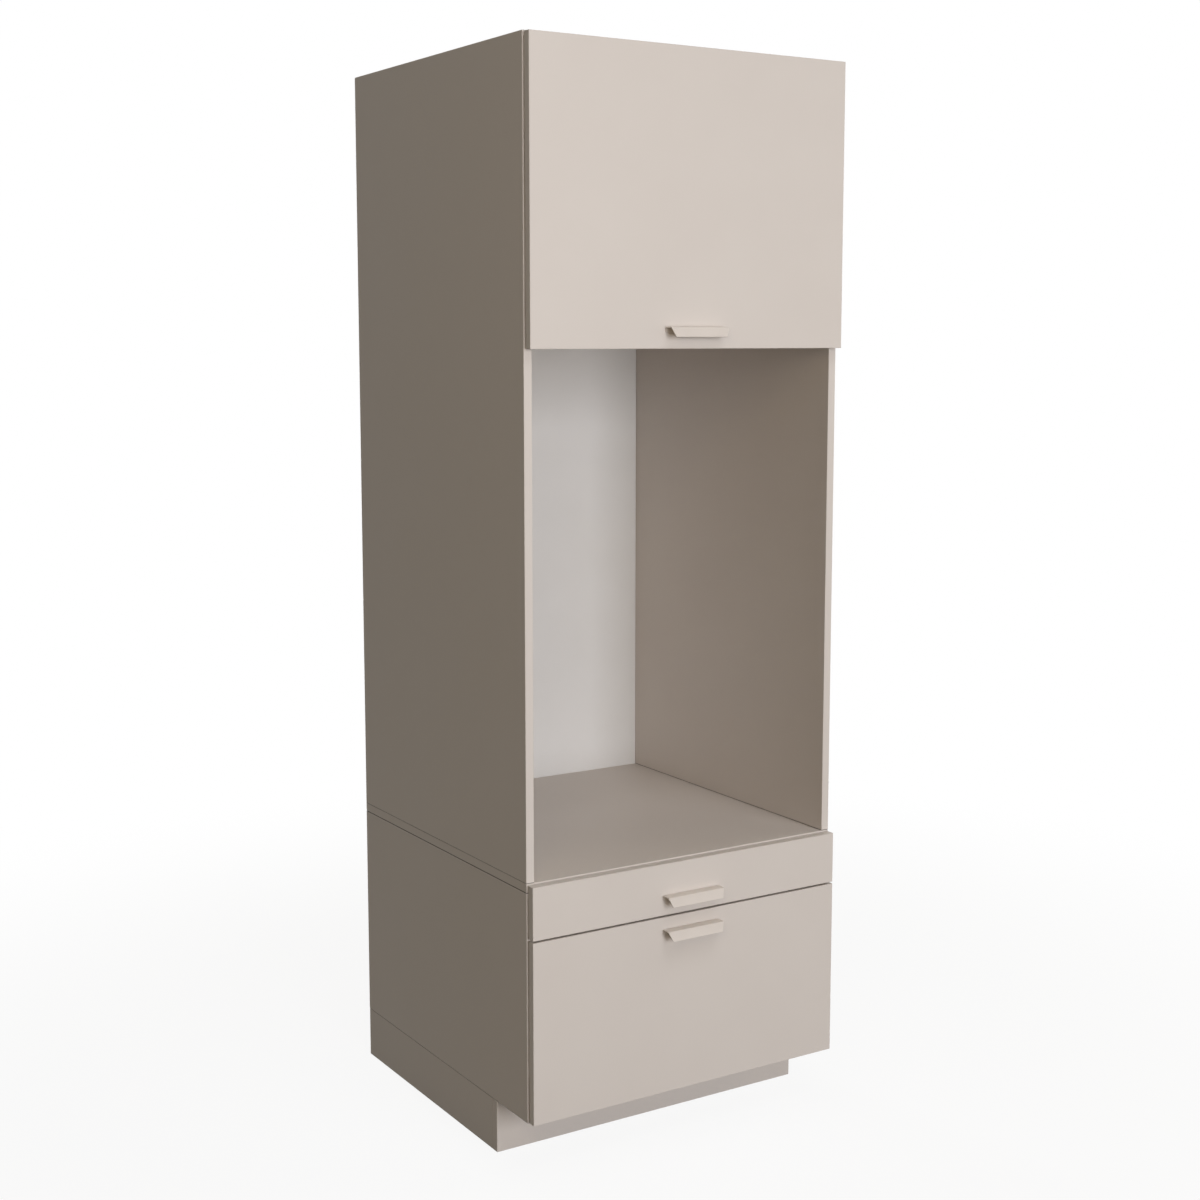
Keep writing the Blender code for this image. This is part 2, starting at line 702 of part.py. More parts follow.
def make_strut_flap_bracket(name, sign, flap):
    """A plate on the flap, with an ear whose stud ends beside the rod's end fitting."""
    stud_end = INNER_HALF - STRUT_SIDE_GAP - STRUT_EYE_WIDTH / 2 - SEAT_GAP
    ear_outer = stud_end - STRUT_EAR
    ear_inner = ear_outer - STRUT_EAR
    face = FRONT_BACK_FACE + SEAT_GAP
    edges = sorted((sign * ear_outer, sign * (ear_outer - STRUT_FLAP_PLATE_WIDTH)))
    plate = make_board(
        f"strut_flap_bracket_{name}",
        (edges[0], face, flap.z - STRUT_PLATE_HEIGHT / 2),
        (edges[1], face + STRUT_PLATE, flap.z + STRUT_PLATE_HEIGHT / 2),
        "zinc_steel",
        edge=0,
    )
    ear_edges = sorted((sign * ear_outer, sign * ear_inner))
    ear = make_board(
        f"strut_flap_ear_{name}",
        (ear_edges[0], face + STRUT_PLATE / 2, flap.z - STRUT_EAR_RADIUS),
        (ear_edges[1], flap.y + STRUT_EAR_RADIUS, flap.z + STRUT_EAR_RADIUS),
        "zinc_steel",
        edge=0,
    )
    add_boolean(plate, ear, "UNION")
    start = (ear_outer + ear_inner) / 2
    stud = make_rod(f"strut_flap_stud_{name}", STRUT_STUD_RADIUS, stud_end - start, "zinc_steel")
    stud.location = (sign * (stud_end + start) / 2, flap.y, flap.z)
    add_boolean(plate, stud, "UNION")
    return plate


def make_channel(name, sign, web_face, flange_end, height, length, middle_z):
    """A rolled channel along Y, from the outer face of its web to the ends of its flanges."""
    half = (height - RUNNER_SHEET) / 2
    toward = 1 if flange_end > web_face else -1
    web = web_face + toward * RUNNER_SHEET / 2
    points = [
        (sign * flange_end, middle_z + half),
        (sign * web, middle_z + half),
        (sign * web, middle_z - half),
        (sign * flange_end, middle_z - half),
    ]
    start = CARCASS_FRONT + RUNNER_SETBACK
    return extruded_strip(name, points, start, start + length, RUNNER_SHEET, "zinc_steel")


def build_runner(group, side, sign, middle_z, length):
    """Three nested channels: on the side board, between, and on the moving box."""
    outer_x = INNER_HALF - SEAT_GAP
    middle_x = outer_x - RUNNER_SHEET - RUNNER_PLAY
    box_x = RUNNER_BOX_HALF + SEAT_GAP
    step = 2 * (RUNNER_SHEET + RUNNER_PLAY)
    heights = RUNNER_HEIGHT, RUNNER_HEIGHT - step, RUNNER_HEIGHT - 2 * step
    name = f"{group}_runner_{side}"
    make_channel(
        f"{name}_fixed", sign, outer_x, outer_x - RUNNER_FLANGE, heights[0], length, middle_z
    )
    between = make_channel(
        f"{name}_middle", sign, middle_x, middle_x - RUNNER_FLANGE, heights[1], length, middle_z
    )
    moving = make_channel(
        f"{name}_moving", sign, box_x, box_x + RUNNER_INNER_FLANGE, heights[2], length, middle_z
    )
    return between, moving


def build_pullout():
    pivot = make_empty("pullout_pivot", (0, FRONT_BACK_FACE, PULLOUT_FRONT_TOP))
    halfway = make_empty("pullout_middle_pivot", (0, CARCASS_FRONT, PULLOUT_FRONT_TOP))
    start = FRONT_BACK_FACE + SEAT_GAP
    board_top = BAY_FLOOR_UNDERSIDE - PULLOUT_BOARD_DROP
    cleat_top = board_top - BOARD - SEAT_GAP
    cleat_middle = cleat_top - PULLOUT_CLEAT_HEIGHT / 2
    front = make_front("pullout_front", PULLOUT_FRONT_BOTTOM, PULLOUT_FRONT_TOP)
    handle = make_handle("pullout_handle", PULLOUT_FRONT_BOTTOM + HANDLE_RISE)
    board = make_board(
        "pullout_board",
        (-RUNNER_BOX_HALF, start, board_top - BOARD),
        (RUNNER_BOX_HALF, start + PULLOUT_BOARD_DEPTH, board_top),
    )
    hang_on(pivot, front, handle, board)
    for name, sign in SIDES:
        edges = sorted((sign * RUNNER_BOX_HALF, sign * (RUNNER_BOX_HALF - BOARD)))
        cleat = make_board(
            f"pullout_cleat_{name}",
            (edges[0], start, cleat_top - PULLOUT_CLEAT_HEIGHT),
            (edges[1], start + PULLOUT_BOARD_DEPTH, cleat_top),
        )
        between, moving = build_runner(
            "pullout", name, sign, cleat_middle, PULLOUT_RUNNER_LENGTH
        )
        hang_on(pivot, cleat, moving)
        hang_on(halfway, between)


def build_drawer():
    pivot = make_empty("drawer_pivot", (0, FRONT_BACK_FACE, DRAWER_FRONT_BOTTOM))
    halfway = make_empty("drawer_middle_pivot", (0, CARCASS_FRONT, DRAWER_FRONT_BOTTOM))
    start = FRONT_BACK_FACE + SEAT_GAP
    end = start + DRAWER_BOX_DEPTH
    bottom = PLINTH_HEIGHT + BOARD + DRAWER_BOX_RISE
    top = bottom + DRAWER_BOX_HEIGHT
    between_half = RUNNER_BOX_HALF - DRAWER_BOARD - SEAT_GAP
    floor = bottom + DRAWER_BOTTOM_RISE
    front = make_front("drawer_front", DRAWER_FRONT_BOTTOM, DRAWER_FRONT_TOP)
    handle = make_handle("drawer_handle", DRAWER_FRONT_TOP - DRAWER_HANDLE_DROP)
    rear = make_board(
        "drawer_back",
        (-between_half, end - DRAWER_BOARD, bottom),
        (between_half, end, top),
        "drawer_board",
    )
    tray = make_board(
        "drawer_bottom",
        (-between_half, start, floor),
        (between_half, end - DRAWER_BOARD - SEAT_GAP, floor + DRAWER_BOTTOM_SHEET),
        "drawer_board",
    )
    hang_on(pivot, front, handle, rear, tray)
    for name, sign in SIDES:
        edges = sorted((sign * RUNNER_BOX_HALF, sign * (RUNNER_BOX_HALF - DRAWER_BOARD)))
        side = make_board(
            f"drawer_side_{name}", (edges[0], start, bottom), (edges[1], end, top), "drawer_board"
        )
        between, moving = build_runner(
            "drawer", name, sign, bottom + DRAWER_RUNNER_RISE, DRAWER_RUNNER_LENGTH
        )
        hang_on(pivot, side, moving)
        hang_on(halfway, between)


build_plinth()
build_base_unit()
build_upper_carcass()
build_upper_back_panel()
build_wall_angles()
build_cupboard_shelf()
build_struts(build_flap())
build_pullout()
build_drawer()
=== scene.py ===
# Looks of a tall laundry cabinet with an open bay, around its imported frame.
# Metres, +Z up, and the fronts face -Y.
import math

import bmesh
import bpy
from mathutils import Matrix, Vector


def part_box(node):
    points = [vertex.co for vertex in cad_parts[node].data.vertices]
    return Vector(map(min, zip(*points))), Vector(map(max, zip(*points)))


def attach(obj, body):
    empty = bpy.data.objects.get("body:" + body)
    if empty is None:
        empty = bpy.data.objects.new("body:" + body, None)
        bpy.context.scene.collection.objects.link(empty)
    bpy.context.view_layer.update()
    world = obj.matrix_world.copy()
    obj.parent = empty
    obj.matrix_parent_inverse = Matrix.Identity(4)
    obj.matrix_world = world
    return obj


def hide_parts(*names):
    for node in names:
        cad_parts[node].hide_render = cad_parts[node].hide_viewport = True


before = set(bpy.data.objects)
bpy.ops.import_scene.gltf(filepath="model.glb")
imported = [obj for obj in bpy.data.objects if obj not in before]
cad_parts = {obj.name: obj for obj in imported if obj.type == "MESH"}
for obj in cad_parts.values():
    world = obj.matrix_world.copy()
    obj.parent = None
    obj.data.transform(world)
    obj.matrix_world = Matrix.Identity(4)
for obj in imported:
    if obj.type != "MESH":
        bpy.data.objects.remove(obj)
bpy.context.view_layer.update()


def tone(red, green, blue):
    # sRGB from 0 to 255, as the linear colour that a node takes
    shares = [channel / 255 for channel in (red, green, blue)]
    linear = [s / 12.92 if s <= 0.04045 else ((s + 0.055) / 1.055) ** 2.4 for s in shares]
    return (*linear, 1)


class Wire:
    # a node's output, that can stand in a sum

    def __init__(self, paint, socket):
        self.paint = paint
        self.socket = socket

    def maths(self, operation, first, second=0):
        settings = {"operation": operation}
        return self.paint.node("ShaderNodeMath", settings, {0: first, 1: second})

    def other(self, output):
        return Wire(self.paint, self.socket.node.outputs[output])

    def __add__(self, number):
        return self.maths("ADD", self, number)

    def __radd__(self, number):
        return self.maths("ADD", number, self)

    def __sub__(self, number):
        return self.maths("SUBTRACT", self, number)

    def __rsub__(self, number):
        return self.maths("SUBTRACT", number, self)

    def __mul__(self, number):
        return self.maths("MULTIPLY", self, number)

    def __rmul__(self, number):
        return self.maths("MULTIPLY", number, self)

    def __gt__(self, number):
        return self.maths("GREATER_THAN", self, number)

    def __lt__(self, number):
        return self.maths("LESS_THAN", self, number)

    def __abs__(self):
        return self.maths("ABSOLUTE", self)

    def __or__(self, mask):
        return self.maths("MAXIMUM", self, mask)

    def __ror__(self, mask):
        return self.maths("MAXIMUM", mask, self)


class Paint:
    # a node material, or the world's nodes

    def __init__(self, owner):
        owner.use_nodes = True
        self.owner = owner
        self.tree = owner.node_tree

    def node(self, kind, settings=None, inputs=None, output=0):
        made = self.tree.nodes.new(kind)
        for setting, value in (settings or {}).items():
            if setting == "stops":
                self.setStops(made.color_ramp, value)
            else:
                setattr(made, setting, value)
        for socket, value in (inputs or {}).items():
            self.feed(made.inputs[socket], value)
        return Wire(self, made.outputs[output])

    def setStops(self, ramp, stops):
        while len(ramp.elements) < len(stops):
            ramp.elements.new(1)
        for element, (position, colour) in zip(ramp.elements, stops):
            element.position = position
            element.color = colour

    def feed(self, socket, value):
        if isinstance(value, Wire):
            self.tree.links.new(value.socket, socket)
        else:
            socket.default_value = value

    def shade(self, **values):
        # feeds the Principled shader, whose sockets are named with _ for a space
        shader = self.tree.nodes["Principled BSDF"]
        for name, value in values.items():
            self.feed(shader.inputs[name.replace("_", " ")], value)

    def spot(self, stretch=None):
        # Object coordinates, which are the part's own metres
        place = self.node("ShaderNodeTexCoord", output="Object")
        if stretch is None:
            return place
        return self.node("ShaderNodeMapping", inputs={"Vector": place, "Scale": stretch})

    def noise(self, spot, size, detail=2, rough=0.5):
        values = {"Vector": spot, "Scale": 1 / size, "Detail": detail, "Roughness": rough}
        return self.node("ShaderNodeTexNoise", inputs=values)

    def cells(self, spot, size):
        # cells of a size, each with its own number from 0 to 1
        values = {"Vector": spot, "Scale": 1 / size, "Randomness": 1}
        colours = self.node("ShaderNodeTexVoronoi", {"feature": "F1"}, values, output="Color")
        return self.node("ShaderNodeSeparateColor", inputs={0: colours})

    def mix(self, factor, low, high):
        settings = {"data_type": "RGBA"}
        return self.node("ShaderNodeMix", settings, {0: factor, 6: low, 7: high}, output=2)

    def bump(self, height, depth, strength, under=None):
        values = {"Height": height, "Distance": depth, "Strength": strength}
        if under is not None:
            values["Normal"] = under
        return self.node("ShaderNodeBump", inputs=values)


def newPaint(name):
    return Paint(bpy.data.materials.new(name))


# Melamine-faced board: matt, with a pearl grain too fine to see from a step away
boardLook = {
    "colour": tone(210, 202, 194),
    "deeper": tone(205, 196, 188),     # where the mottle is darkest
    "mottleSize": 0.16,
    "mottleShare": 0.8,                # of the change in colour, the rest is the pearl grain's
    "pearlSize": 0.0007,
    "pearlDepth": 0.00003,
    "pearlStrength": 0.5,
    "roughness": 0.44,
    "roughnessSpread": 0.06,
    "gloss": 0.35,
    "bandJoint": 0.0009,               # from a board's front edge to the band's glue line
    "jointHalf": 0.00012,              # half of the glue line's width
    "jointStrength": 0.5,
    "jointColour": tone(150, 138, 124),
    "seamShadeWidth": 0.001,                # the dark line of a cut edge that another board lies on, deepened with painted shade for the joint
    # painted shade: darker than the bare chipboard, standing in for the shadow in the joint between
    # two boards
    "seamShadeColour": tone(62, 53, 45),
    "arris": 0.0003,
    "rawDepth": 0.0005,
    "rawRoughness": 0.35,              # added where the chipboard is bare
    "rawStrength": 0.6,
    "chipSize": 0.0022,
    "chipStretch": (1, 0.45, 1),
    "chipShare": 0.6,
    "dustShare": 0.45,
    "chipColours": [
        (0.0, tone(132, 98, 62)),
        (0.4, tone(170, 133, 90)),
        (0.7, tone(196, 162, 118)),
        (1.0, tone(214, 186, 146)),
    ],
}
frontLook = {**boardLook, "roughness": 0.4, "gloss": 0.4}
drawerBoardLook = {
    **boardLook,
    "colour": tone(214, 209, 202),
    "deeper": tone(208, 203, 195),
    "roughness": 0.5,
}


def chipboardColour(paint, look):
    # flat chips lie along the board, with dust a quarter of their size between them
    spot = paint.spot(look["chipStretch"])
    chips = paint.cells(spot, look["chipSize"])
    dust = paint.noise(spot, look["chipSize"] / 4, detail=4)
    level = chips * look["chipShare"] + dust * look["dustShare"]
    return paint.node("ShaderNodeValToRGB", {"stops": look["chipColours"]}, {0: level})


def nearEnds(places, box, ends, depth):
    # 1 within a depth of any of the box's ends that are listed
    mask = 0
    for axis, end in ends:
        if end == 0:
            mask = (places[axis] < box[0][axis] + depth) | mask
        else:
            mask = (places[axis] > box[1][axis] - depth) | mask
    return mask


def paintBoard(name, look, box=None, raw=(), banded=(), shadedSeams=()):
    # raw, banded and seams are pairs of an axis number and an end, 0 for low and 1 for high; seams
    # get a dark line of painted shade
    paint = newPaint(name)
    spot = paint.spot()
    split = paint.node("ShaderNodeSeparateXYZ", inputs={0: spot})
    places = [split.other(axis) for axis in ("X", "Y", "Z")]
    mottle = paint.noise(spot, look["mottleSize"], detail=3)
    pearl = paint.noise(spot, look["pearlSize"], detail=1)
    depth = mottle * look["mottleShare"] + pearl * (1 - look["mottleShare"])
    colour = paint.mix(depth, look["deeper"], look["colour"])
    for axis, end in banded:
        line = box[end][axis] + (look["bandJoint"] if end == 0 else -look["bandJoint"])
        joint = abs(places[axis] - line) < look["jointHalf"]
        colour = paint.mix(joint * look["jointStrength"], colour, look["jointColour"])
    roughness = mottle * look["roughnessSpread"] + look["roughness"]
    normal = paint.bump(pearl, look["pearlDepth"], look["pearlStrength"])
    if raw:
        cut = nearEnds(places, box, raw, look["rawDepth"])
        colour = paint.mix(cut, colour, chipboardColour(paint, look))
        roughness = roughness + cut * look["rawRoughness"]
        grit = paint.noise(spot, look["chipSize"] / 3, detail=4)
        normal = paint.bump(grit * cut, look["rawDepth"], look["rawStrength"], normal)
    # painted shade: a dark line along the seams, partly the cut edge and partly the shadow in the
    # joint
    if shadedSeams:
        seamShade = nearEnds(places, box, shadedSeams, look["seamShadeWidth"])
        colour = paint.mix(seamShade, colour, look["seamShadeColour"])
    paint.shade(
        Base_Color=colour, Roughness=roughness, Normal=normal, Specular_IOR_Level=look["gloss"]
    )
    return paint.owner


# Back sheets: fibreboard, lacquered on the side towards the room and bare behind
sheetLook = {
    "inner": tone(224, 221, 217),
    "innerDeeper": tone(218, 215, 210),
    "innerFacing": -0.5,               # a face whose normal's Y is less looks into the room
    "fibre": tone(176, 153, 124),
    "fibreDeeper": tone(156, 132, 103),
    "fibreLevels": (0.3, 0.7),         # where the deeper and the plain fibre colour are reached
    "fibreSize": 0.006,
    "fibreStretch": (0.3, 1, 1),
    "fibreShare": 0.6,
    "cloudSize": 0.12,
    "cloudShare": 0.25,
    "speckSize": 0.0015,
    "speckShare": 0.15,
    "screenSize": 0.0016,              # the mesh that presses a pattern on a fibreboard's back
    "screenDepth": 0.0001,
    "screenStrength": 0.4,
    "roughness": 0.55,
    "bareRoughness": 0.25,             # added on the bare side
    "roughnessSpread": 0.05,
    "gloss": 0.3,
}
waveScale = 0.3142                     # of a wave texture with one band to the metre


def paintBackSheet():
    paint = newPaint("back_sheet")
    facing = paint.node("ShaderNodeNewGeometry", output="Normal")
    outward = paint.node("ShaderNodeSeparateXYZ", inputs={0: facing}, output="Y")
    bare = outward > sheetLook["innerFacing"]
    spot = paint.spot()
    cloud = paint.noise(spot, sheetLook["cloudSize"], detail=4)
    fibreSpot = paint.spot(sheetLook["fibreStretch"])
    fibres = paint.noise(fibreSpot, sheetLook["fibreSize"], detail=8, rough=0.7)
    specks = paint.noise(spot, sheetLook["speckSize"])
    inner = paint.mix(cloud, sheetLook["innerDeeper"], sheetLook["inner"])
    level = fibres * sheetLook["fibreShare"] + cloud * sheetLook["cloudShare"]
    level = level + specks * sheetLook["speckShare"]
    ramp = list(zip(sheetLook["fibreLevels"], (sheetLook["fibreDeeper"], sheetLook["fibre"])))
    outer = paint.node("ShaderNodeValToRGB", {"stops": ramp}, {0: level})
    waves = [
        paint.node(
            "ShaderNodeTexWave",
            {"wave_type": "BANDS", "bands_direction": direction},
            {"Vector": spot, "Scale": waveScale / sheetLook["screenSize"]},
        )
        for direction in ("X", "Z")
    ]
    screen = waves[0] * waves[1] * bare
    roughness = bare * sheetLook["bareRoughness"] + sheetLook["roughness"]
    paint.shade(
        Base_Color=paint.mix(bare, inner, outer),
        Roughness=roughness + cloud * sheetLook["roughnessSpread"],
        Normal=paint.bump(screen, sheetLook["screenDepth"], sheetLook["screenStrength"]),
        Specular_IOR_Level=sheetLook["gloss"],
    )
    return paint.owner


# Coats and plastics: a cloud in colour and gloss, and a grain that only catches the light
handleLook = {                         # powder coat in the boards' colour
    "colour": tone(211, 202, 193),
    "deeper": tone(205, 196, 187),
    "cloudSize": 0.03,
    "cloudDetail": 2,
    "grainSize": 0.0009,
    "grainDetail": 2,
    "grainDepth": 0.00004,
    "grainStrength": 0.5,
    "roughness": 0.34,
    "roughnessSpread": 0.06,
}
strutLook = {
    "colour": tone(34, 34, 36),
    "deeper": tone(24, 24, 26),
    "cloudSize": 0.02,
    "cloudDetail": 3,
    "grainSize": 0.0008,
    "grainDetail": 2,
    "grainDepth": 0.00003,
    "grainStrength": 0.4,
    "roughness": 0.3,
    "roughnessSpread": 0.1,
}
bumperLook = {
    "colour": tone(220, 220, 216),
    "deeper": tone(206, 206, 202),
    "cloudSize": 0.006,
    "cloudDetail": 3,
    "grainSize": 0.0004,
    "grainDetail": 1,
    "grainDepth": 0.00002,
    "grainStrength": 0.4,
    "roughness": 0.2,
    "roughnessSpread": 0.08,
}
capLook = {
    **bumperLook,
    "colour": tone(206, 197, 188),
    "deeper": tone(199, 190, 180),
    "roughness": 0.35,
}


def paintCoat(name, look):
    paint = newPaint(name)
    spot = paint.spot()
    cloud = paint.noise(spot, look["cloudSize"], look["cloudDetail"])
    grain = paint.noise(spot, look["grainSize"], look["grainDetail"])
    paint.shade(
        Base_Color=paint.mix(cloud, look["deeper"], look["colour"]),
        Roughness=cloud * look["roughnessSpread"] + look["roughness"],
        Normal=paint.bump(grain, look["grainDepth"], look["grainStrength"]),
    )
    return paint.owner


# Zinc-plated steel: small crystals under the lines that rolling left
zincLook = {
    "colour": tone(206, 208, 211),
    "deeper": tone(178, 181, 186),
    "crystalSize": 0.003125,
    "crystalShare": 0.5,               # of the change in colour, the rest is the rolled lines'
    "lineSize": 0.0008,
    "lineStretch": (1, 0.03, 1),
    "lineDepth": 0.00002,
    "lineStrength": 0.4,
    "roughness": 0.24,
    "roughnessSpread": 0.16,
}


def paintZinc():
    paint = newPaint("zinc_steel")
    crystals = paint.cells(paint.spot(), zincLook["crystalSize"])
    lines = paint.noise(paint.spot(zincLook["lineStretch"]), zincLook["lineSize"], detail=3)
    share = zincLook["crystalShare"]
    level = crystals * share + lines * (1 - share)
    paint.shade(
        Base_Color=paint.mix(level, zincLook["deeper"], zincLook["colour"]),
        Roughness=level * zincLook["roughnessSpread"] + zincLook["roughness"],
        Normal=paint.bump(lines, zincLook["lineDepth"], zincLook["lineStrength"]),
        Metallic=1.0,
    )
    return paint.owner


# The struts' rods: chrome, ground round
chromeLook = {
    "colour": tone(228, 229, 232),
    "deeper": tone(214, 216, 220),
    "lineSize": 0.004,
    "lineStretch": (1, 12, 1),
    "grainSize": 0.0006,
    "grainDepth": 0.000005,
    "grainStrength": 0.3,
    "roughness": 0.07,
    "roughnessSpread": 0.05,
}


def paintChrome():
    paint = newPaint("strut_rod_chrome")
    lines = paint.noise(paint.spot(chromeLook["lineStretch"]), chromeLook["lineSize"])
    grain = paint.noise(paint.spot(), chromeLook["grainSize"])
    paint.shade(
        Base_Color=paint.mix(lines, chromeLook["deeper"], chromeLook["colour"]),
        Roughness=lines * chromeLook["roughnessSpread"] + chromeLook["roughness"],
        Normal=paint.bump(grain, chromeLook["grainDepth"], chromeLook["grainStrength"]),
        Metallic=1.0,
    )
    return paint.owner


# Boards whose CAD solid is kept, with their raw ends, banded edges, and seams darkened with painted
# shade
rear = (1, 1)
front = (1, 0)
underside = (2, 0)
upperside = (2, 1)
leftEnd = (0, 0)
rightEnd = (0, 1)
baseSideEnds = {"raw": [underside, rear], "banded": [front], "shadedSeams": [underside, upperside]}
upperSideEnds = {"raw": [underside, rear], "banded": [front], "shadedSeams": [underside]}
boardEnds = {
    "plinth_front": {"raw": [underside]},
    "plinth_left": {"raw": [underside, rear]},
    "plinth_right": {"raw": [underside, rear]},
    "plinth_rear": {"raw": [underside]},
    "base_left_side": baseSideEnds,
    "base_right_side": baseSideEnds,
    "base_bottom": {"raw": [rear], "banded": [front]},
    "base_rear_rail": {},
    "bay_floor": {"raw": [rear], "banded": [front, leftEnd, rightEnd]},
    "upper_left_side": upperSideEnds,
    "upper_right_side": upperSideEnds,
    "top_board": {"raw": [rear], "banded": [front]},
    "bay_ceiling": {"raw": [rear], "banded": [front]},
    "cupboard_shelf": {"raw": [rear], "banded": [front]},
    "pullout_board": {"raw": [rear]},
    "pullout_cleat_left": {"raw": [rear]},
    "pullout_cleat_right": {"raw": [rear]},
}
drawerBoards = ("drawer_side_left", "drawer_side_right", "drawer_back", "drawer_bottom")
zincNodes = ["hinge_leaf_carcass", "hinge_leaf_flap", "hinge_pin"]
for side in ("left", "right"):
    zincNodes += [
        f"strut_side_bracket_{side}", f"strut_flap_bracket_{side}", f"wall_angle_{side}",
        f"shelf_pin_{side}_front", f"shelf_pin_{side}_rear",
    ]
weldDistance = 0.00001


def dress(node, material):
    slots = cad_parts[node].data.materials
    slots.clear()
    slots.append(material)


def roundEdges(piece, width, segments=2, angle=30):
    bevel = piece.modifiers.new("rounded edges", "BEVEL")
    bevel.width = width
    bevel.segments = segments
    bevel.limit_method = "ANGLE"
    bevel.angle_limit = math.radians(angle)
    bevel.harden_normals = True


def dressBoard(node, look, **ends):
    dress(node, paintBoard(node + "_melamine", look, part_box(node), **ends))
    # the CAD solid's triangles are loose, so they are welded before the bevel
    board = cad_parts[node]
    weld = board.modifiers.new("weld", "WELD")
    weld.merge_threshold = weldDistance
    roundEdges(board, boardLook["arris"])


frontPaint = paintBoard("melamine_front", frontLook)
bandPaint = paintBoard("front_edge_band", frontLook)
sheetPaint = paintBackSheet()
handlePaint = paintCoat("handle_lacquer", handleLook)
zincPaint = paintZinc()
blackPaint = paintCoat("strut_black", strutLook)
chromePaint = paintChrome()
bumperPaint = paintCoat("bumper_plastic", bumperLook)
capPaint = paintCoat("cap_plastic", capLook)
for node, ends in boardEnds.items():
    dressBoard(node, boardLook, **ends)
for node in drawerBoards:
    dressBoard(node, drawerBoardLook)
for node in zincNodes:
    dress(node, zincPaint)
print("materials:", len(bpy.data.materials))


# Places on the frame
sides = (("left", -1), ("right", 1))


def middleOf(node):
    low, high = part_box(node)
    return (low + high) / 2


def outerX(node):
    # X of the face that looks away from the cabinet's middle
    low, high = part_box(node)
    return max(low.x, high.x, key=abs)


def innerX(node):
    low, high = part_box(node)
    return min(low.x, high.x, key=abs)


def along(start, end, share):
    return start + (end - start) * share


def spread(start, end, pitch):
    # evenly spaced numbers from start to end, about a pitch apart
    count = max(1, round((end - start) / pitch))
    return [along(start, end, index / count) for index in range(count + 1)]


def standAt(point, direction):
    # the matrix that puts +Z of a small part along a direction, at a point
    turn = Vector((0, 0, 1)).rotation_difference(Vector(direction))
    return Matrix.Translation(point) @ turn.to_matrix().to_4x4()


# Shapes that the pieces share
sharpAngle = 35                        # degrees between two faces, past which their edge is sharp
mergeDistance = 0.000001
arcShare = 0.3                         # of a radius, from the corner in to its arc's middle


def makeMesh(name, bm):
    mesh = bpy.data.meshes.new(name)
    bmesh.ops.recalc_face_normals(bm, faces=bm.faces)
    bm.to_mesh(mesh)
    bm.free()
    return mesh


def addObject(name, data):
    added = bpy.data.objects.new(name, data)
    bpy.context.scene.collection.objects.link(added)
    return added


def addPiece(name, bm, body, material, replaced=None):
    mesh = makeMesh(name, bm)
    mesh.materials.append(material)
    mesh.shade_smooth()
    mesh.set_sharp_from_angle(angle=math.radians(sharpAngle))
    piece = addObject(name, mesh)
    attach(piece, body)
    if replaced:
        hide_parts(replaced)
    return piece


def addBlock(bm, low, high):
    low = Vector(low)
    high = Vector(high)
    size = Matrix.Diagonal((*(high - low), 1))
    place = Matrix.Translation((low + high) / 2) @ size
    bmesh.ops.create_cube(bm, size=1, matrix=place)


def addDisc(bm, point, direction, radius, depth, sides=12):
    # a round plug from the point, along the direction
    place = standAt(point, direction) @ Matrix.Translation((0, 0, depth / 2))
    bmesh.ops.create_cone(
        bm, cap_ends=True, segments=sides, radius1=radius, radius2=radius, depth=depth, matrix=place
    )


def addRow(bm, points):
    # vertices in a row, and the edges that join them
    row = [bm.verts.new(point) for point in points]
    return row, [bm.edges.new(pair) for pair in zip(row, row[1:])]


def addStrip(bm, points):
    # a strip of faces on a row of points, whose far side is still to be moved
    edges = addRow(bm, points)[1]
    made = bmesh.ops.extrude_edge_only(bm, edges=edges)["geom"]
    return [part for part in made if isinstance(part, bmesh.types.BMVert)]


def roundBends(bm, bends, radius, segments):
    bmesh.ops.bevel(
        bm, geom=bends, offset=radius, segments=segments, affect="EDGES", profile=0.5, material=-1
    )


def turnProfile(bm, profile, steps, place=Matrix.Identity(4)):
    # spins pairs of radius and height about Z, then puts the shape in its place
    row, edges = addRow(bm, [(radius, 0, height) for radius, height in profile])
    bmesh.ops.spin(
        bm, geom=[*row, *edges], cent=(0, 0, 0), axis=(0, 0, 1), angle=math.tau, steps=steps,
        use_merge=True,
    )
    bmesh.ops.remove_doubles(bm, verts=bm.verts, dist=mergeDistance)
    bmesh.ops.transform(bm, matrix=place, verts=bm.verts)


def addCopies(name, template, places, body, material):
    bm = bmesh.new()
    for place in places:
        known = len(bm.verts)
        bm.from_mesh(template)
        bm.verts.ensure_lookup_table()
        bmesh.ops.transform(bm, matrix=place, verts=bm.verts[known:])
    addPiece(name, bm, body, material)


def thicken(piece, thickness):
    # the mesh is the sheet's middle surface
    sheet = piece.modifiers.new("sheet", "SOLIDIFY")
    sheet.thickness = thickness
    sheet.offset = 0
    sheet.use_even_offset = True


def settle(piece):
    # makes what the modifiers show the piece's own mesh
    graph = bpy.context.evaluated_depsgraph_get()
    mesh = bpy.data.meshes.new_from_object(piece.evaluated_get(graph))
    piece.modifiers.clear()
    piece.data = mesh


def cutOut(piece, cutter):
    # cuts a bmesh out of a piece
    tool = addObject("cutter", makeMesh("cutter", cutter))
    step = piece.modifiers.new("cut", "BOOLEAN")
    step.operation = "DIFFERENCE"
    step.solver = "EXACT"
    step.object = tool
    settle(piece)
    bpy.data.objects.remove(tool)


# Fronts: a board between its two laminates, and a band glued on each of its four edges
fronts = {"flap": "flap_panel", "pullout": "pullout_front", "drawer": "drawer_front"}
frontBuild = {
    "band": 0.0008,
    "bandRounding": 0.0003,
    "boardRounding": 0.00012,
    "hingeChamfer": 0.003,             # off the flap's top back edge, for the knuckles
}


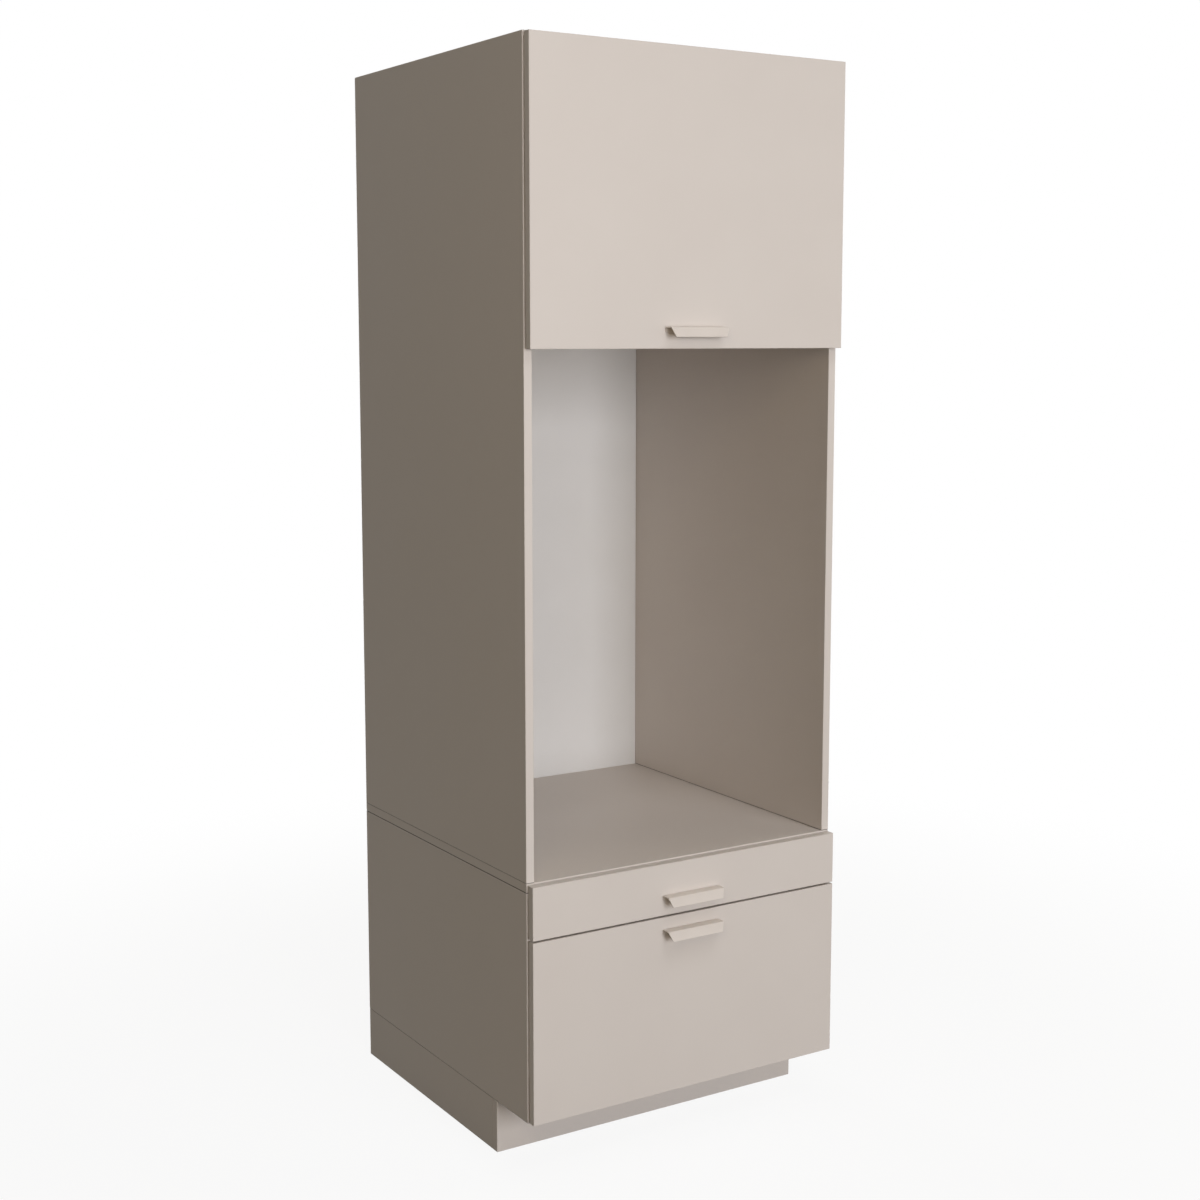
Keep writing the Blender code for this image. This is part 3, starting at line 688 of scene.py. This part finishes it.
def cutChamfer(bm, high):
    # takes the top back edge off everything in the bmesh, and closes the cut
    depth = frontBuild["hingeChamfer"]
    point = (0, high.y - depth, high.z)
    geometry = [*bm.verts, *bm.edges, *bm.faces]
    cut = bmesh.ops.bisect_plane(
        bm, geom=geometry, plane_co=point, plane_no=(0, 1, 1), clear_outer=True
    )
    rim = [part for part in cut["geom_cut"] if isinstance(part, bmesh.types.BMEdge)]
    bmesh.ops.edgeloop_fill(bm, edges=rim)


def makeFront(body, node):
    chamfer = body == "flap"
    low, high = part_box(node)
    band = frontBuild["band"]
    bm = bmesh.new()
    addBlock(bm, (low.x + band, low.y, low.z + band), (high.x - band, high.y, high.z - band))
    if chamfer:
        cutChamfer(bm, high)
    board = addPiece(node + "_board", bm, body, frontPaint, node)
    roundEdges(board, frontBuild["boardRounding"])
    strips = {
        "top": ((low.x, low.y, high.z - band), high),
        "bottom": (low, (high.x, high.y, low.z + band)),
        "left": ((low.x, low.y, low.z + band), (low.x + band, high.y, high.z - band)),
        "right": ((high.x - band, low.y, low.z + band), (high.x, high.y, high.z - band)),
    }
    for edge, (start, end) in strips.items():
        bm = bmesh.new()
        addBlock(bm, start, end)
        if chamfer and edge != "bottom":
            cutChamfer(bm, high)
        strip = addPiece(f"{node}_band_{edge}", bm, body, bandPaint)
        roundEdges(strip, frontBuild["bandRounding"])


for body, node in fronts.items():
    makeFront(body, node)
print("fronts: three, with their bands")


# Handles, each bent from one strip of sheet steel
handleBuild = {
    "sheet": 0.0018,
    "backLeg": 0.009,
    "lipTilt": 0.007,
    "lipSlant": 0.0065,                # how far the lip's ends run in
    "bend": 0.0012,
    "bendSegments": 6,
    "rim": 0.00035,
    "rimSegments": 3,
    "rimAngle": 50,                    # degrees, more than between two faces of a bend
    "screwPitch": 0.096,
}


def makeHandle(body):
    node = body + "_handle"
    low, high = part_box(node)
    half = handleBuild["sheet"] / 2
    halfLength = (high.x - low.x) / 2
    top = high.z - half
    back = high.y - half
    tiltAngle = math.atan2(handleBuild["lipTilt"], high.z - low.z - 2 * half)
    lipEnd = low.y + half * math.cos(tiltAngle)
    lipTop = lipEnd + handleBuild["lipTilt"]
    lipFoot = low.z + half * math.sin(tiltAngle)
    section = [
        (back, high.z - handleBuild["backLeg"], 0),
        (back, top, 0),
        (lipTop, top, 0),
        (lipEnd, lipFoot, handleBuild["lipSlant"]),
    ]
    bm = bmesh.new()
    for vert in addStrip(bm, [(slant - halfLength, y, z) for y, z, slant in section]):
        vert.co.x = -vert.co.x
    bends = [
        edge for edge in bm.edges
        if len(edge.link_faces) == 2 and abs(edge.verts[0].co.z - top) < half
    ]
    roundBends(bm, bends, handleBuild["bend"], handleBuild["bendSegments"])
    handle = addPiece(node + "_strip", bm, body, handlePaint, node)
    thicken(handle, handleBuild["sheet"])
    roundEdges(handle, handleBuild["rim"], handleBuild["rimSegments"], handleBuild["rimAngle"])


for body in fronts:
    makeHandle(body)
print("handles: three")


# Back panels, with the sunk heads of their nails, and the service hole of the upper one
panelBuild = {
    "nailHead": 0.0019,
    "nailThickness": 0.000425,
    "dimple": 0.0023,
    "dimpleDepth": 0.00025,
    "nailPitch": 0.115,
    "nailInset": 0.0065,               # from the panel's edge to the row of nails
    "outline": 0.02,                   # vertices further in than this are the hole's
    "cornerRadius": 0.03,
    "cornerSegments": 12,
    "overrun": 0.01,
}


def findHole(node):
    # the box of the vertices that lie well inside the panel's outline
    low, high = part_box(node)
    margin = panelBuild["outline"]
    inside = [
        vert.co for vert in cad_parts[node].data.vertices
        if low.x + margin < vert.co.x < high.x - margin
        and low.z + margin < vert.co.z < high.z - margin
    ]
    if not inside:
        return None
    xs = [point.x for point in inside]
    zs = [point.z for point in inside]
    return min(xs), min(zs), max(xs), max(zs)


def addHoleCutter(cutter, low, high, hole):
    minX, minZ, maxX, maxZ = hole
    beyond = panelBuild["overrun"]
    addBlock(cutter, (minX, low.y - beyond, minZ), (maxX, high.y + beyond, maxZ))
    corners = [
        edge for edge in cutter.edges
        if abs(edge.verts[0].co.y - edge.verts[1].co.y) > beyond
    ]
    roundBends(cutter, corners, panelBuild["cornerRadius"], panelBuild["cornerSegments"])


def makeBackPanel(node, boards):
    # the boards that the panel is nailed to between the sides
    low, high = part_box(node)
    rows = [middleOf(board).z for board in boards]
    inset = panelBuild["nailInset"]
    pitch = panelBuild["nailPitch"]
    left, right = low.x + inset, high.x - inset
    heads = [(x, z) for x in (left, right) for z in spread(rows[0], rows[-1], pitch)]
    heads += [(x, z) for z in rows for x in spread(left, right, pitch)[1:-1]]
    bm = bmesh.new()
    addBlock(bm, low, high)
    panel = addPiece(node + "_sheet", bm, "carcass", sheetPaint, node)
    cutter = bmesh.new()
    hole = findHole(node)
    if hole:
        addHoleCutter(cutter, low, high, hole)
    depth = panelBuild["dimpleDepth"]
    for x, z in heads:
        addDisc(cutter, (x, high.y - depth, z), (0, 1, 0), panelBuild["dimple"], 2 * depth)
    cutOut(panel, cutter)
    nails = bmesh.new()
    for x, z in heads:
        start = (x, high.y - 2 * depth, z)
        addDisc(nails, start, (0, 1, 0), panelBuild["nailHead"], panelBuild["nailThickness"])
    addPiece(node + "_nails", nails, "carcass", zincPaint)


makeBackPanel("upper_back_panel", ("bay_floor", "bay_ceiling", "top_board"))
makeBackPanel("base_back_panel", ("base_bottom", "base_rear_rail"))
print("back panels: two, nailed")


# Gas struts, finer than the solids that they stand for
strutBuild = {
    "steps": 40,
    "tubeRadius": 0.0075,
    "tubeStart": 0.0056,               # from the side's pivot along the strut
    "tubeLength": 0.094,
    "tubeRound": 0.0012,
    "crimpStart": 0.0048,              # the groove over the seal, from the tube's end back
    "crimpEnd": 0.00264,
    "crimpSlope": 0.00072,
    "crimpDrop": 0.0007,
    "lipWidth": 0.0018,
    "lipRound": (0.00048, 0.00024),    # the lip's middle point, in from its side and its end
    "mouthRadius": 0.0036,
    "mouthDepth": 0.004,
    "rodRadius": 0.003,
    "rodStart": 0.012,
    "eyeRadius": 0.0068,
    "eyeWidth": 0.008,
    "eyeRound": 0.0009,
    "socketRadius": 0.0046,
    "socketFoot": 0.00368,             # radius of its end towards the tube
    "socketNeck": 0.00391,             # radius of its end towards the eye
    "socketFlare": 0.00072,
    "socketTaper": 0.0012,
    "socketLength": 0.012,
    "earRadius": 0.006,                # of the flap bracket's ear round its stud
}


def strutEnds(side):
    # the strut's pivot on the side bracket, and its stud on the flap's
    flapBracket = "strut_flap_bracket_" + side
    pivot = middleOf("strut_side_bracket_" + side)
    stud = middleOf(flapBracket)
    stud.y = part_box(flapBracket)[1].y - strutBuild["earRadius"]
    pivot.x = stud.x = middleOf("strut_tube_" + side).x
    return pivot, stud


def tubeProfile():
    radius, start = strutBuild["tubeRadius"], strutBuild["tubeStart"]
    end = start + strutBuild["tubeLength"]
    soft = strutBuild["tubeRound"]
    crimpStart, crimpEnd = end - strutBuild["crimpStart"], end - strutBuild["crimpEnd"]
    slope = strutBuild["crimpSlope"]
    groove = radius - strutBuild["crimpDrop"]
    lipIn, lipBack = strutBuild["lipRound"]
    mouth = strutBuild["mouthRadius"]
    floor = end - strutBuild["mouthDepth"]
    return [
        (0, start), (radius - soft, start), (radius - soft * arcShare, start + soft * arcShare),
        (radius, start + soft), (radius, crimpStart), (groove, crimpStart + slope),
        (groove, crimpEnd - slope), (radius, crimpEnd), (radius, end - soft),
        (radius - lipIn, end - lipBack), (radius - strutBuild["lipWidth"], end),
        (mouth, end), (mouth, floor), (0, floor),
    ]


def rodProfile(end):
    radius, start = strutBuild["rodRadius"], strutBuild["rodStart"]
    return [(0, start), (radius, start), (radius, end), (0, end)]


def socketProfile(start, end):
    radius = strutBuild["socketRadius"]
    return [
        (0, start), (strutBuild["socketFoot"], start), (radius, start + strutBuild["socketFlare"]),
        (radius, end - strutBuild["socketTaper"]), (strutBuild["socketNeck"], end), (0, end),
    ]


def eyeProfile():
    radius, half = strutBuild["eyeRadius"], strutBuild["eyeWidth"] / 2
    soft = strutBuild["eyeRound"]
    corner = soft * arcShare
    return [
        (0, -half), (radius - soft, -half), (radius - corner, -half + corner),
        (radius, -half + soft), (radius, half - soft), (radius - corner, half - corner),
        (radius - soft, half), (0, half),
    ]


def addTurned(name, profile, place, body, slot, material, replaced=None):
    bm = bmesh.new()
    turnProfile(bm, profile, strutBuild["steps"], place)
    addPiece(name, bm, body, material, replaced)


def makeStrut(side):
    pivot, stud = strutEnds(side)
    line = standAt(pivot, stud - pivot)
    length = (stud - pivot).length
    neck = length - strutBuild["eyeRadius"] / 2
    foot = length - strutBuild["eyeRadius"] - strutBuild["socketLength"] / 2
    tube, rod = "strut_tube_" + side, "strut_rod_" + side
    name = f"strut_{side}_"
    black = ("strut_black", blackPaint)
    chrome = ("strut_rod_chrome", chromePaint)
    across = (1, 0, 0)
    addTurned(name + "pressure_tube", tubeProfile(), line, "strut_tubes", *black, tube)
    addTurned(name + "tube_eye", eyeProfile(), standAt(pivot, across), "strut_tubes", *black)
    addTurned(name + "piston_rod", rodProfile(neck), line, "strut_rods", *chrome, rod)
    addTurned(name + "rod_socket", socketProfile(foot, neck), line, "strut_rods", *black)
    addTurned(name + "rod_eye", eyeProfile(), standAt(stud, across), "strut_rods", *black)


for side in ("left", "right"):
    makeStrut(side)
print("struts: two")


# Runners, rolled from sheet, with the holes of the 32 mm system in their webs
runnerBuild = {
    "sheet": 0.0012,
    "bend": 0.0018,
    "bendSegments": 5,
    "holeRadius": 0.0021,
    "holePitch": 0.032,
    "holeInset": 0.02,
    "leverSetback": 0.06,
    "leverLength": 0.052,
    "leverHeight": 0.0075,
    "leverDepth": 0.0028,
    "leverSegments": 3,
    "screwShares": (0.06, 0.5, 0.94),  # of the moving member's length
}


def webOf(node, outside):
    # X of the web's outer face, of the flanges' ends, and which way the flanges run
    far, near = outerX(node), innerX(node)
    web, tip = (far, near) if outside else (near, far)
    return web, tip, math.copysign(1, tip - web)


def insideOfWeb(node):
    # X of a moving member's web on the side of its flanges, and which way they run
    web, _, inward = webOf(node, False)
    return web + inward * runnerBuild["sheet"], inward


def makeChannel(node, body, outside):
    low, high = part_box(node)
    web, tip, inward = webOf(node, outside)
    half = runnerBuild["sheet"] / 2
    webLine = web + inward * half
    top, bottom = high.z - half, low.z + half
    section = [(tip, top), (webLine, top), (webLine, bottom), (tip, bottom)]
    bm = bmesh.new()
    for vert in addStrip(bm, [(x, low.y, z) for x, z in section]):
        vert.co.y = high.y
    bends = [edge for edge in bm.edges if len(edge.link_faces) == 2]
    roundBends(bm, bends, runnerBuild["bend"], runnerBuild["bendSegments"])
    channel = addPiece(node + "_channel", bm, body, zincPaint, node)
    thicken(channel, runnerBuild["sheet"])
    cutter = bmesh.new()
    inset = runnerBuild["holeInset"]
    through = 2 * runnerBuild["sheet"]
    for y in spread(low.y + inset, high.y - inset, runnerBuild["holePitch"]):
        start = (web - inward * through / 2, y, (low.z + high.z) / 2)
        addDisc(cutter, start, (inward, 0, 0), runnerBuild["holeRadius"], 2 * through)
    cutOut(channel, cutter)


def makeLever(node, body):
    # the catch that lets the box off its runner
    low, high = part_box(node)
    face, inward = insideOfWeb(node)
    depth, height = runnerBuild["leverDepth"], runnerBuild["leverHeight"]
    near, far = sorted((face, face + inward * depth))
    start = low.y + runnerBuild["leverSetback"]
    end = start + runnerBuild["leverLength"]
    top = high.z - runnerBuild["sheet"] - height / 2
    bm = bmesh.new()
    addBlock(bm, (near, start, top - height), (far, end, top))
    lever = addPiece(node + "_catch", bm, body, blackPaint)
    roundEdges(lever, depth / 3, runnerBuild["leverSegments"])


for group in ("pullout", "drawer"):
    for side in ("left", "right"):
        runner = f"{group}_runner_{side}_"
        makeChannel(runner + "fixed", "carcass", True)
        makeChannel(runner + "middle", group + "_middle_runners", True)
        makeChannel(runner + "moving", group, False)
        makeLever(runner + "moving", group)
print("runners: twelve channels")


# Screws, whose domed heads have a cross recess
screwKinds = {
    "handle": {"radius": 0.0039, "height": 0.0024},
    "small": {"radius": 0.0028, "height": 0.0015},
    "flush": {"radius": 0.0021, "height": 0.00012},
    "panel": {"radius": 0.0034, "height": 0.0003},
}
screwBuild = {
    "sides": 24,
    "rimShare": 0.25,                  # of the height, straight up before the dome
    "turns": (0.3, 0.6, 0.9, 1.2),     # radians round the dome
    "armShare": 0.62,                  # of the radius, the reach of the cross's arms
    "armHalfShare": 0.13,
    "floorShare": 0.3,                 # of the height, under the recess
}


def screwTemplate(radius, height):
    rim = screwBuild["rimShare"]
    dome = [(0, 0), (radius, 0), (radius, height * rim)]
    dome += [
        (radius * math.cos(turn), height * (rim + (1 - rim) * math.sin(turn)))
        for turn in screwBuild["turns"]
    ]
    dome.append((0, height))
    bm = bmesh.new()
    turnProfile(bm, dome, screwBuild["sides"])
    head = addPiece("template", bm, "carcass", zincPaint)
    arm, half = radius * screwBuild["armShare"], radius * screwBuild["armHalfShare"]
    floor = height * screwBuild["floorShare"]
    for reachX, reachY in ((arm, half), (half, arm)):
        cutter = bmesh.new()
        addBlock(cutter, (-reachX, -reachY, floor), (reachX, reachY, 2 * height))
        cutOut(head, cutter)
    mesh = head.data
    bpy.data.objects.remove(head)
    return mesh


screws = {kind: screwTemplate(**size) for kind, size in screwKinds.items()}


def addScrews(name, kind, places, body):
    addCopies(name, screws[kind], places, body, zincPaint)


def addHandleScrews(body):
    handle = body + "_handle"
    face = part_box(fronts[body])[1].y
    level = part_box(handle)[1].z - handleBuild["backLeg"] / 2
    half = handleBuild["screwPitch"] / 2
    places = [standAt((x, face, level), (0, 1, 0)) for x in (-half, half)]
    addScrews(handle + "_screws", "handle", places, body)


for body in fronts:
    addHandleScrews(body)

# The hinge's leaves face each other, and so do the heads of their screws
hingeBuild = {
    "sheet": 0.0007,
    "screwCount": 11,
    "screwRise": 0.0045,               # above the leaf's lower edge
}


def addHingeScrews(body, way):
    # way is 1 where the heads look back, and -1 where they look to the front
    node = "hinge_leaf_" + body
    low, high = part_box(node)
    face = (low.y if way > 0 else high.y) + way * hingeBuild["sheet"]
    pitch = (high.x - low.x) / hingeBuild["screwCount"]
    level = low.z + hingeBuild["screwRise"]
    places = [
        standAt((low.x + pitch * (index + 0.5), face, level), (0, way, 0))
        for index in range(hingeBuild["screwCount"])
    ]
    addScrews(node + "_screws", "flush", places, body)


addHingeScrews("carcass", -1)
addHingeScrews("flap", 1)

bracketBuild = {
    "plate": 0.002,
    "screwRise": 0.0145,               # above and below the bracket's middle
    "flapPlateMiddle": 0.01,           # from the flap bracket's inner end to its screws
}
angleBuild = {
    "sheet": 0.0025,
    "screwShares": (0.28, 0.68),       # of a leg's length
}
drawerScrewShares = (0.12, 0.5, 0.88)  # of the drawer sides' height


def addStrutScrews():
    plate, rise = bracketBuild["plate"], bracketBuild["screwRise"]
    sidePlaces = []
    flapPlaces = []
    for side, sign in sides:
        pivot, stud = strutEnds(side)
        flapBracket = "strut_flap_bracket_" + side
        sideFace = outerX("strut_side_bracket_" + side) - sign * plate
        flapMiddle = innerX(flapBracket) + sign * bracketBuild["flapPlateMiddle"]
        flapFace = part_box(flapBracket)[0].y + plate
        for step in (-rise, rise):
            sidePlaces.append(standAt((sideFace, pivot.y, pivot.z + step), (-sign, 0, 0)))
            flapPlaces.append(standAt((flapMiddle, flapFace, stud.z + step), (0, 1, 0)))
    addScrews("strut_side_screws", "small", sidePlaces, "carcass")
    addScrews("strut_flap_screws", "small", flapPlaces, "flap")


def addAngleScrews():
    sheet = angleBuild["sheet"]
    places = []
    for side in ("left", "right"):
        low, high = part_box("wall_angle_" + side)
        x = (low.x + high.x) / 2
        for share in angleBuild["screwShares"]:
            y, z = along(low.y, high.y, share), along(low.z, high.z, share)
            places.append(standAt((x, y, high.z - sheet), (0, 0, -1)))
            places.append(standAt((x, high.y - sheet, z), (0, -1, 0)))
    addScrews("wall_angle_screws", "small", places, "carcass")


def addRunnerScrews(group):
    places = []
    for side in ("left", "right"):
        node = f"{group}_runner_{side}_moving"
        low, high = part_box(node)
        face, inward = insideOfWeb(node)
        for share in runnerBuild["screwShares"]:
            point = (face, along(low.y, high.y, share), (low.z + high.z) / 2)
            places.append(standAt(point, (inward, 0, 0)))
    addScrews(group + "_runner_screws", "small", places, group)


def addDrawerBackScrews():
    y = middleOf("drawer_back").y
    places = []
    for side, sign in sides:
        node = "drawer_side_" + side
        low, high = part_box(node)
        for share in drawerScrewShares:
            point = (outerX(node), y, along(low.z, high.z, share))
            places.append(standAt(point, (sign, 0, 0)))
    addScrews("drawer_back_screws", "panel", places, "drawer")


addStrutScrews()
addAngleScrews()
addRunnerScrews("pullout")
addRunnerScrews("drawer")
addDrawerBackScrews()

# Caps over the boards' fittings, bumpers behind the fronts and collars of the shelf's pins
capBuild = {
    "radius": 0.009,
    "height": 0.0009,
    "steps": 32,
    "fromSide": 0.034,                 # from the base bottom's end to the middle of a cap
    "fromEdge": 0.06,
    "behindFront": 0.026,              # from a board's front end to the middle of its caps
    "drawerShares": (0.25, 0.75),      # of the drawer sides' height
    "pulloutShares": (0.1, 0.5, 0.9),  # of the pull-out board's width
}
bumperBuild = {
    "radius": 0.0042,
    "height": 0.0021,
    "steps": 24,
    "rises": {"flap_panel": 0.03, "pullout_front": 0.02, "drawer_front": 0.03},
}
collarBuild = {"radius": 0.0041, "height": 0.0008, "steps": 24}
roundingShare = 0.6                    # of a small dome's radius or height, whichever is less


def domeTemplate(build):
    radius, height = build["radius"], build["height"]
    soft = min(radius, height) * roundingShare
    corner = soft * arcShare
    bm = bmesh.new()
    turnProfile(bm, [
        (0, 0), (radius, 0), (radius, height - soft), (radius - corner, height - corner),
        (radius - soft, height), (0, height),
    ], build["steps"])
    return makeMesh("dome", bm)


def addCaps(name, places, body):
    addCopies(name, domeTemplate(capBuild), places, body, capPaint)


def addFittingCaps():
    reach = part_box("base_bottom")[1].x - capBuild["fromSide"]
    inset = capBuild["fromEdge"]
    places = []
    for node, way in (("bay_ceiling", 1), ("top_board", -1), ("base_bottom", 1), ("bay_floor", -1)):
        low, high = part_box(node)
        level = high.z if way > 0 else low.z
        for x in (-reach, reach):
            for y in (low.y + inset, high.y - inset):
                places.append(standAt((x, y, level), (0, 0, way)))
    addCaps("fitting_caps", places, "carcass")


def addDrawerFrontCaps():
    places = []
    for side, sign in sides:
        node = "drawer_side_" + side
        low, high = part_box(node)
        for share in capBuild["drawerShares"]:
            z = along(low.z, high.z, share)
            point = (innerX(node), low.y + capBuild["behindFront"], z)
            places.append(standAt(point, (-sign, 0, 0)))
    addCaps("drawer_front_caps", places, "drawer")


def addPulloutFrontCaps():
    low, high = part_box("pullout_board")
    y = low.y + capBuild["behindFront"]
    places = [
        standAt((along(low.x, high.x, share), y, low.z), (0, 0, -1))
        for share in capBuild["pulloutShares"]
    ]
    addCaps("pullout_front_caps", places, "pullout")


def addBumpers():
    # two at the flap's lower edge, and four behind each other front
    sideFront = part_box("upper_left_side")[0].y
    sideMiddle = middleOf("upper_left_side").x
    places = []
    for node, rise in bumperBuild["rises"].items():
        low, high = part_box(node)
        levels = [low.z + rise]
        if node != "flap_panel":
            levels.append(high.z - rise)
        for z in levels:
            for x in (-sideMiddle, sideMiddle):
                places.append(standAt((x, sideFront, z), (0, -1, 0)))
    addCopies(
        "bumpers", domeTemplate(bumperBuild), places, "carcass", bumperPaint
    )


def addPinCollars():
    # in the gap between a side and the shelf
    places = []
    for side, sign in sides:
        inner = innerX(f"upper_{side}_side")
        for row in ("front", "rear"):
            pin = middleOf(f"shelf_pin_{side}_{row}")
            places.append(standAt((inner, pin.y, pin.z), (-sign, 0, 0)))
    addCopies(
        "shelf_pin_collars", domeTemplate(collarBuild), places, "carcass", zincPaint
    )


addFittingCaps()
addDrawerFrontCaps()
addPulloutFrontCaps()
addBumpers()
addPinCollars()
print("screws, caps and bumpers")


# Camera at the photograph's viewpoint, tilted down a little instead of shifted far
cameraLook = {
    "place": (-1.864, -2.9931, 1.486),
    "pitchDown": 7.10,
    "yawRight": 32.03,
    "lens": 54.5,
    "sensor": 36.0,
    "shiftUp": -0.03,
}
cameraData = bpy.data.cameras.new("camera")
cameraData.lens = cameraLook["lens"]
cameraData.sensor_width = cameraLook["sensor"]
cameraData.shift_y = cameraLook["shiftUp"]
camera = addObject("camera", cameraData)
camera.location = cameraLook["place"]
camera.rotation_euler = (
    math.radians(90 - cameraLook["pitchDown"]), 0, -math.radians(cameraLook["yawRight"])
)
bpy.context.scene.camera = camera

# Studio: a white room, broad lights in front, fills at the sides and above, and one behind
studio = {
    "ambient": 0.065,
    "ambientColour": (1.0, 0.83, 0.54),
    "floorRadius": 14.0,
    "floorSides": 96,
    "floorDrop": 0.0005,
    "floorColour": (0.86, 0.86, 0.86, 1),
    "floorBounce": tone(132, 121, 102),  # what the floor sends back to the object
    "floorWhite": 0.9,                 # how much of the floor near the object is plain white
    "fadeStart": 0.9,
    "fadeEnd": 2.6,
}
white = (1, 1, 1, 1)
lamps = {
    "key": {
        "place": (0.1, -6.4, 1.5), "aim": (0, -0.3, 1.0), "size": (2.6, 3.0), "power": 242.0,
        "colour": (0.98, 1.0, 1.06),
    },
    "high_front": {
        "place": (0.1, -4.0, 7.0), "aim": (0, -0.3, 0.8), "size": (3.4, 2.6), "power": 105.0,
        "colour": (0.99, 1.0, 1.03),
    },
    "left_fill": {
        "place": (-2.1, -2.5, 2.3), "aim": (-0.3, -0.1, 1.1), "size": (1.0, 1.2), "power": 14.0,
        "colour": (1.0, 0.87, 0.7),
    },
    "right_fill": {
        "place": (2.4, -0.7, 1.7), "aim": (0.3, 0, 1.0), "size": (1.0, 1.2), "power": 10.0,
        "colour": (1.0, 0.9, 0.76),
    },
    "above": {
        "place": (0, 0.2, 4.4), "aim": (0, 0, 0), "size": (2.4, 2.4), "power": 16.0,
        "colour": (1.0, 0.98, 0.95),
    },
    "behind": {
        "place": (-0.1, 4.6, 0.72), "aim": (-0.1, 0.3, 0.95), "size": (0.4, 1.4), "power": 130.0,
        "colour": (0.98, 0.99, 1.0),
    },
}


def addLamp(name, place, aim, size, power, colour):
    light = bpy.data.lights.new(name, "AREA")
    light.shape = "RECTANGLE"
    light.size, light.size_y = size
    light.energy = power
    light.color = colour
    lamp = addObject(name, light)
    lamp.location = place
    lamp.rotation_euler = (Vector(aim) - Vector(place)).to_track_quat("-Z", "Y").to_euler()


def seenDirectly(paint):
    # 1 on rays from the camera, or by way of metal or glass
    path = paint.node("ShaderNodeLightPath", output="Is Camera Ray")
    return path | path.other("Is Glossy Ray") | path.other("Is Transmission Ray")


def paintWorld():
    world = bpy.data.worlds.new("white room")
    bpy.context.scene.world = world
    paint = Paint(world)
    ambient = [channel * studio["ambient"] for channel in studio["ambientColour"]]
    colour = paint.mix(seenDirectly(paint), (*ambient, 1), white)
    paint.feed(paint.tree.nodes["Background"].inputs["Color"], colour)


def paintFloor():
    # white far off, and a soft pale shadow near the object
    paint = newPaint("studio_floor")
    spot = paint.spot()
    distance = paint.node("ShaderNodeVectorMath", {"operation": "LENGTH"}, {0: spot}, output="Value")
    fadeInputs = {
        "Value": distance,
        "From Min": studio["fadeStart"],
        "From Max": studio["fadeEnd"],
        "To Min": studio["floorWhite"],
        "To Max": 1.0,
    }
    fade = paint.node("ShaderNodeMapRange", {"interpolation_type": "SMOOTHSTEP"}, fadeInputs)
    seen = seenDirectly(paint)
    colour = paint.mix(seen, studio["floorBounce"], studio["floorColour"])
    matt = paint.node("ShaderNodeBsdfDiffuse", inputs={"Color": colour})
    glow = paint.node("ShaderNodeEmission", inputs={"Color": white, "Strength": 1.0})
    both = paint.node("ShaderNodeMixShader", inputs={0: fade * seen, 1: matt, 2: glow})
    paint.feed(paint.tree.nodes["Material Output"].inputs["Surface"], both)
    return paint.owner


def makeFloor():
    bm = bmesh.new()
    bmesh.ops.create_circle(
        bm, cap_ends=True, segments=studio["floorSides"], radius=studio["floorRadius"]
    )
    bmesh.ops.translate(bm, vec=(0, 0, -studio["floorDrop"]), verts=bm.verts)
    mesh = bpy.data.meshes.new("studio_floor")
    bm.to_mesh(mesh)
    bm.free()
    mesh.materials.append(paintFloor())
    addObject("studio_floor", mesh)


for name, values in lamps.items():
    addLamp(name, **values)
paintWorld()
makeFloor()
bpy.context.scene.view_settings.view_transform = "Standard"
print("studio: camera,", len(lamps), "lamps, floor")
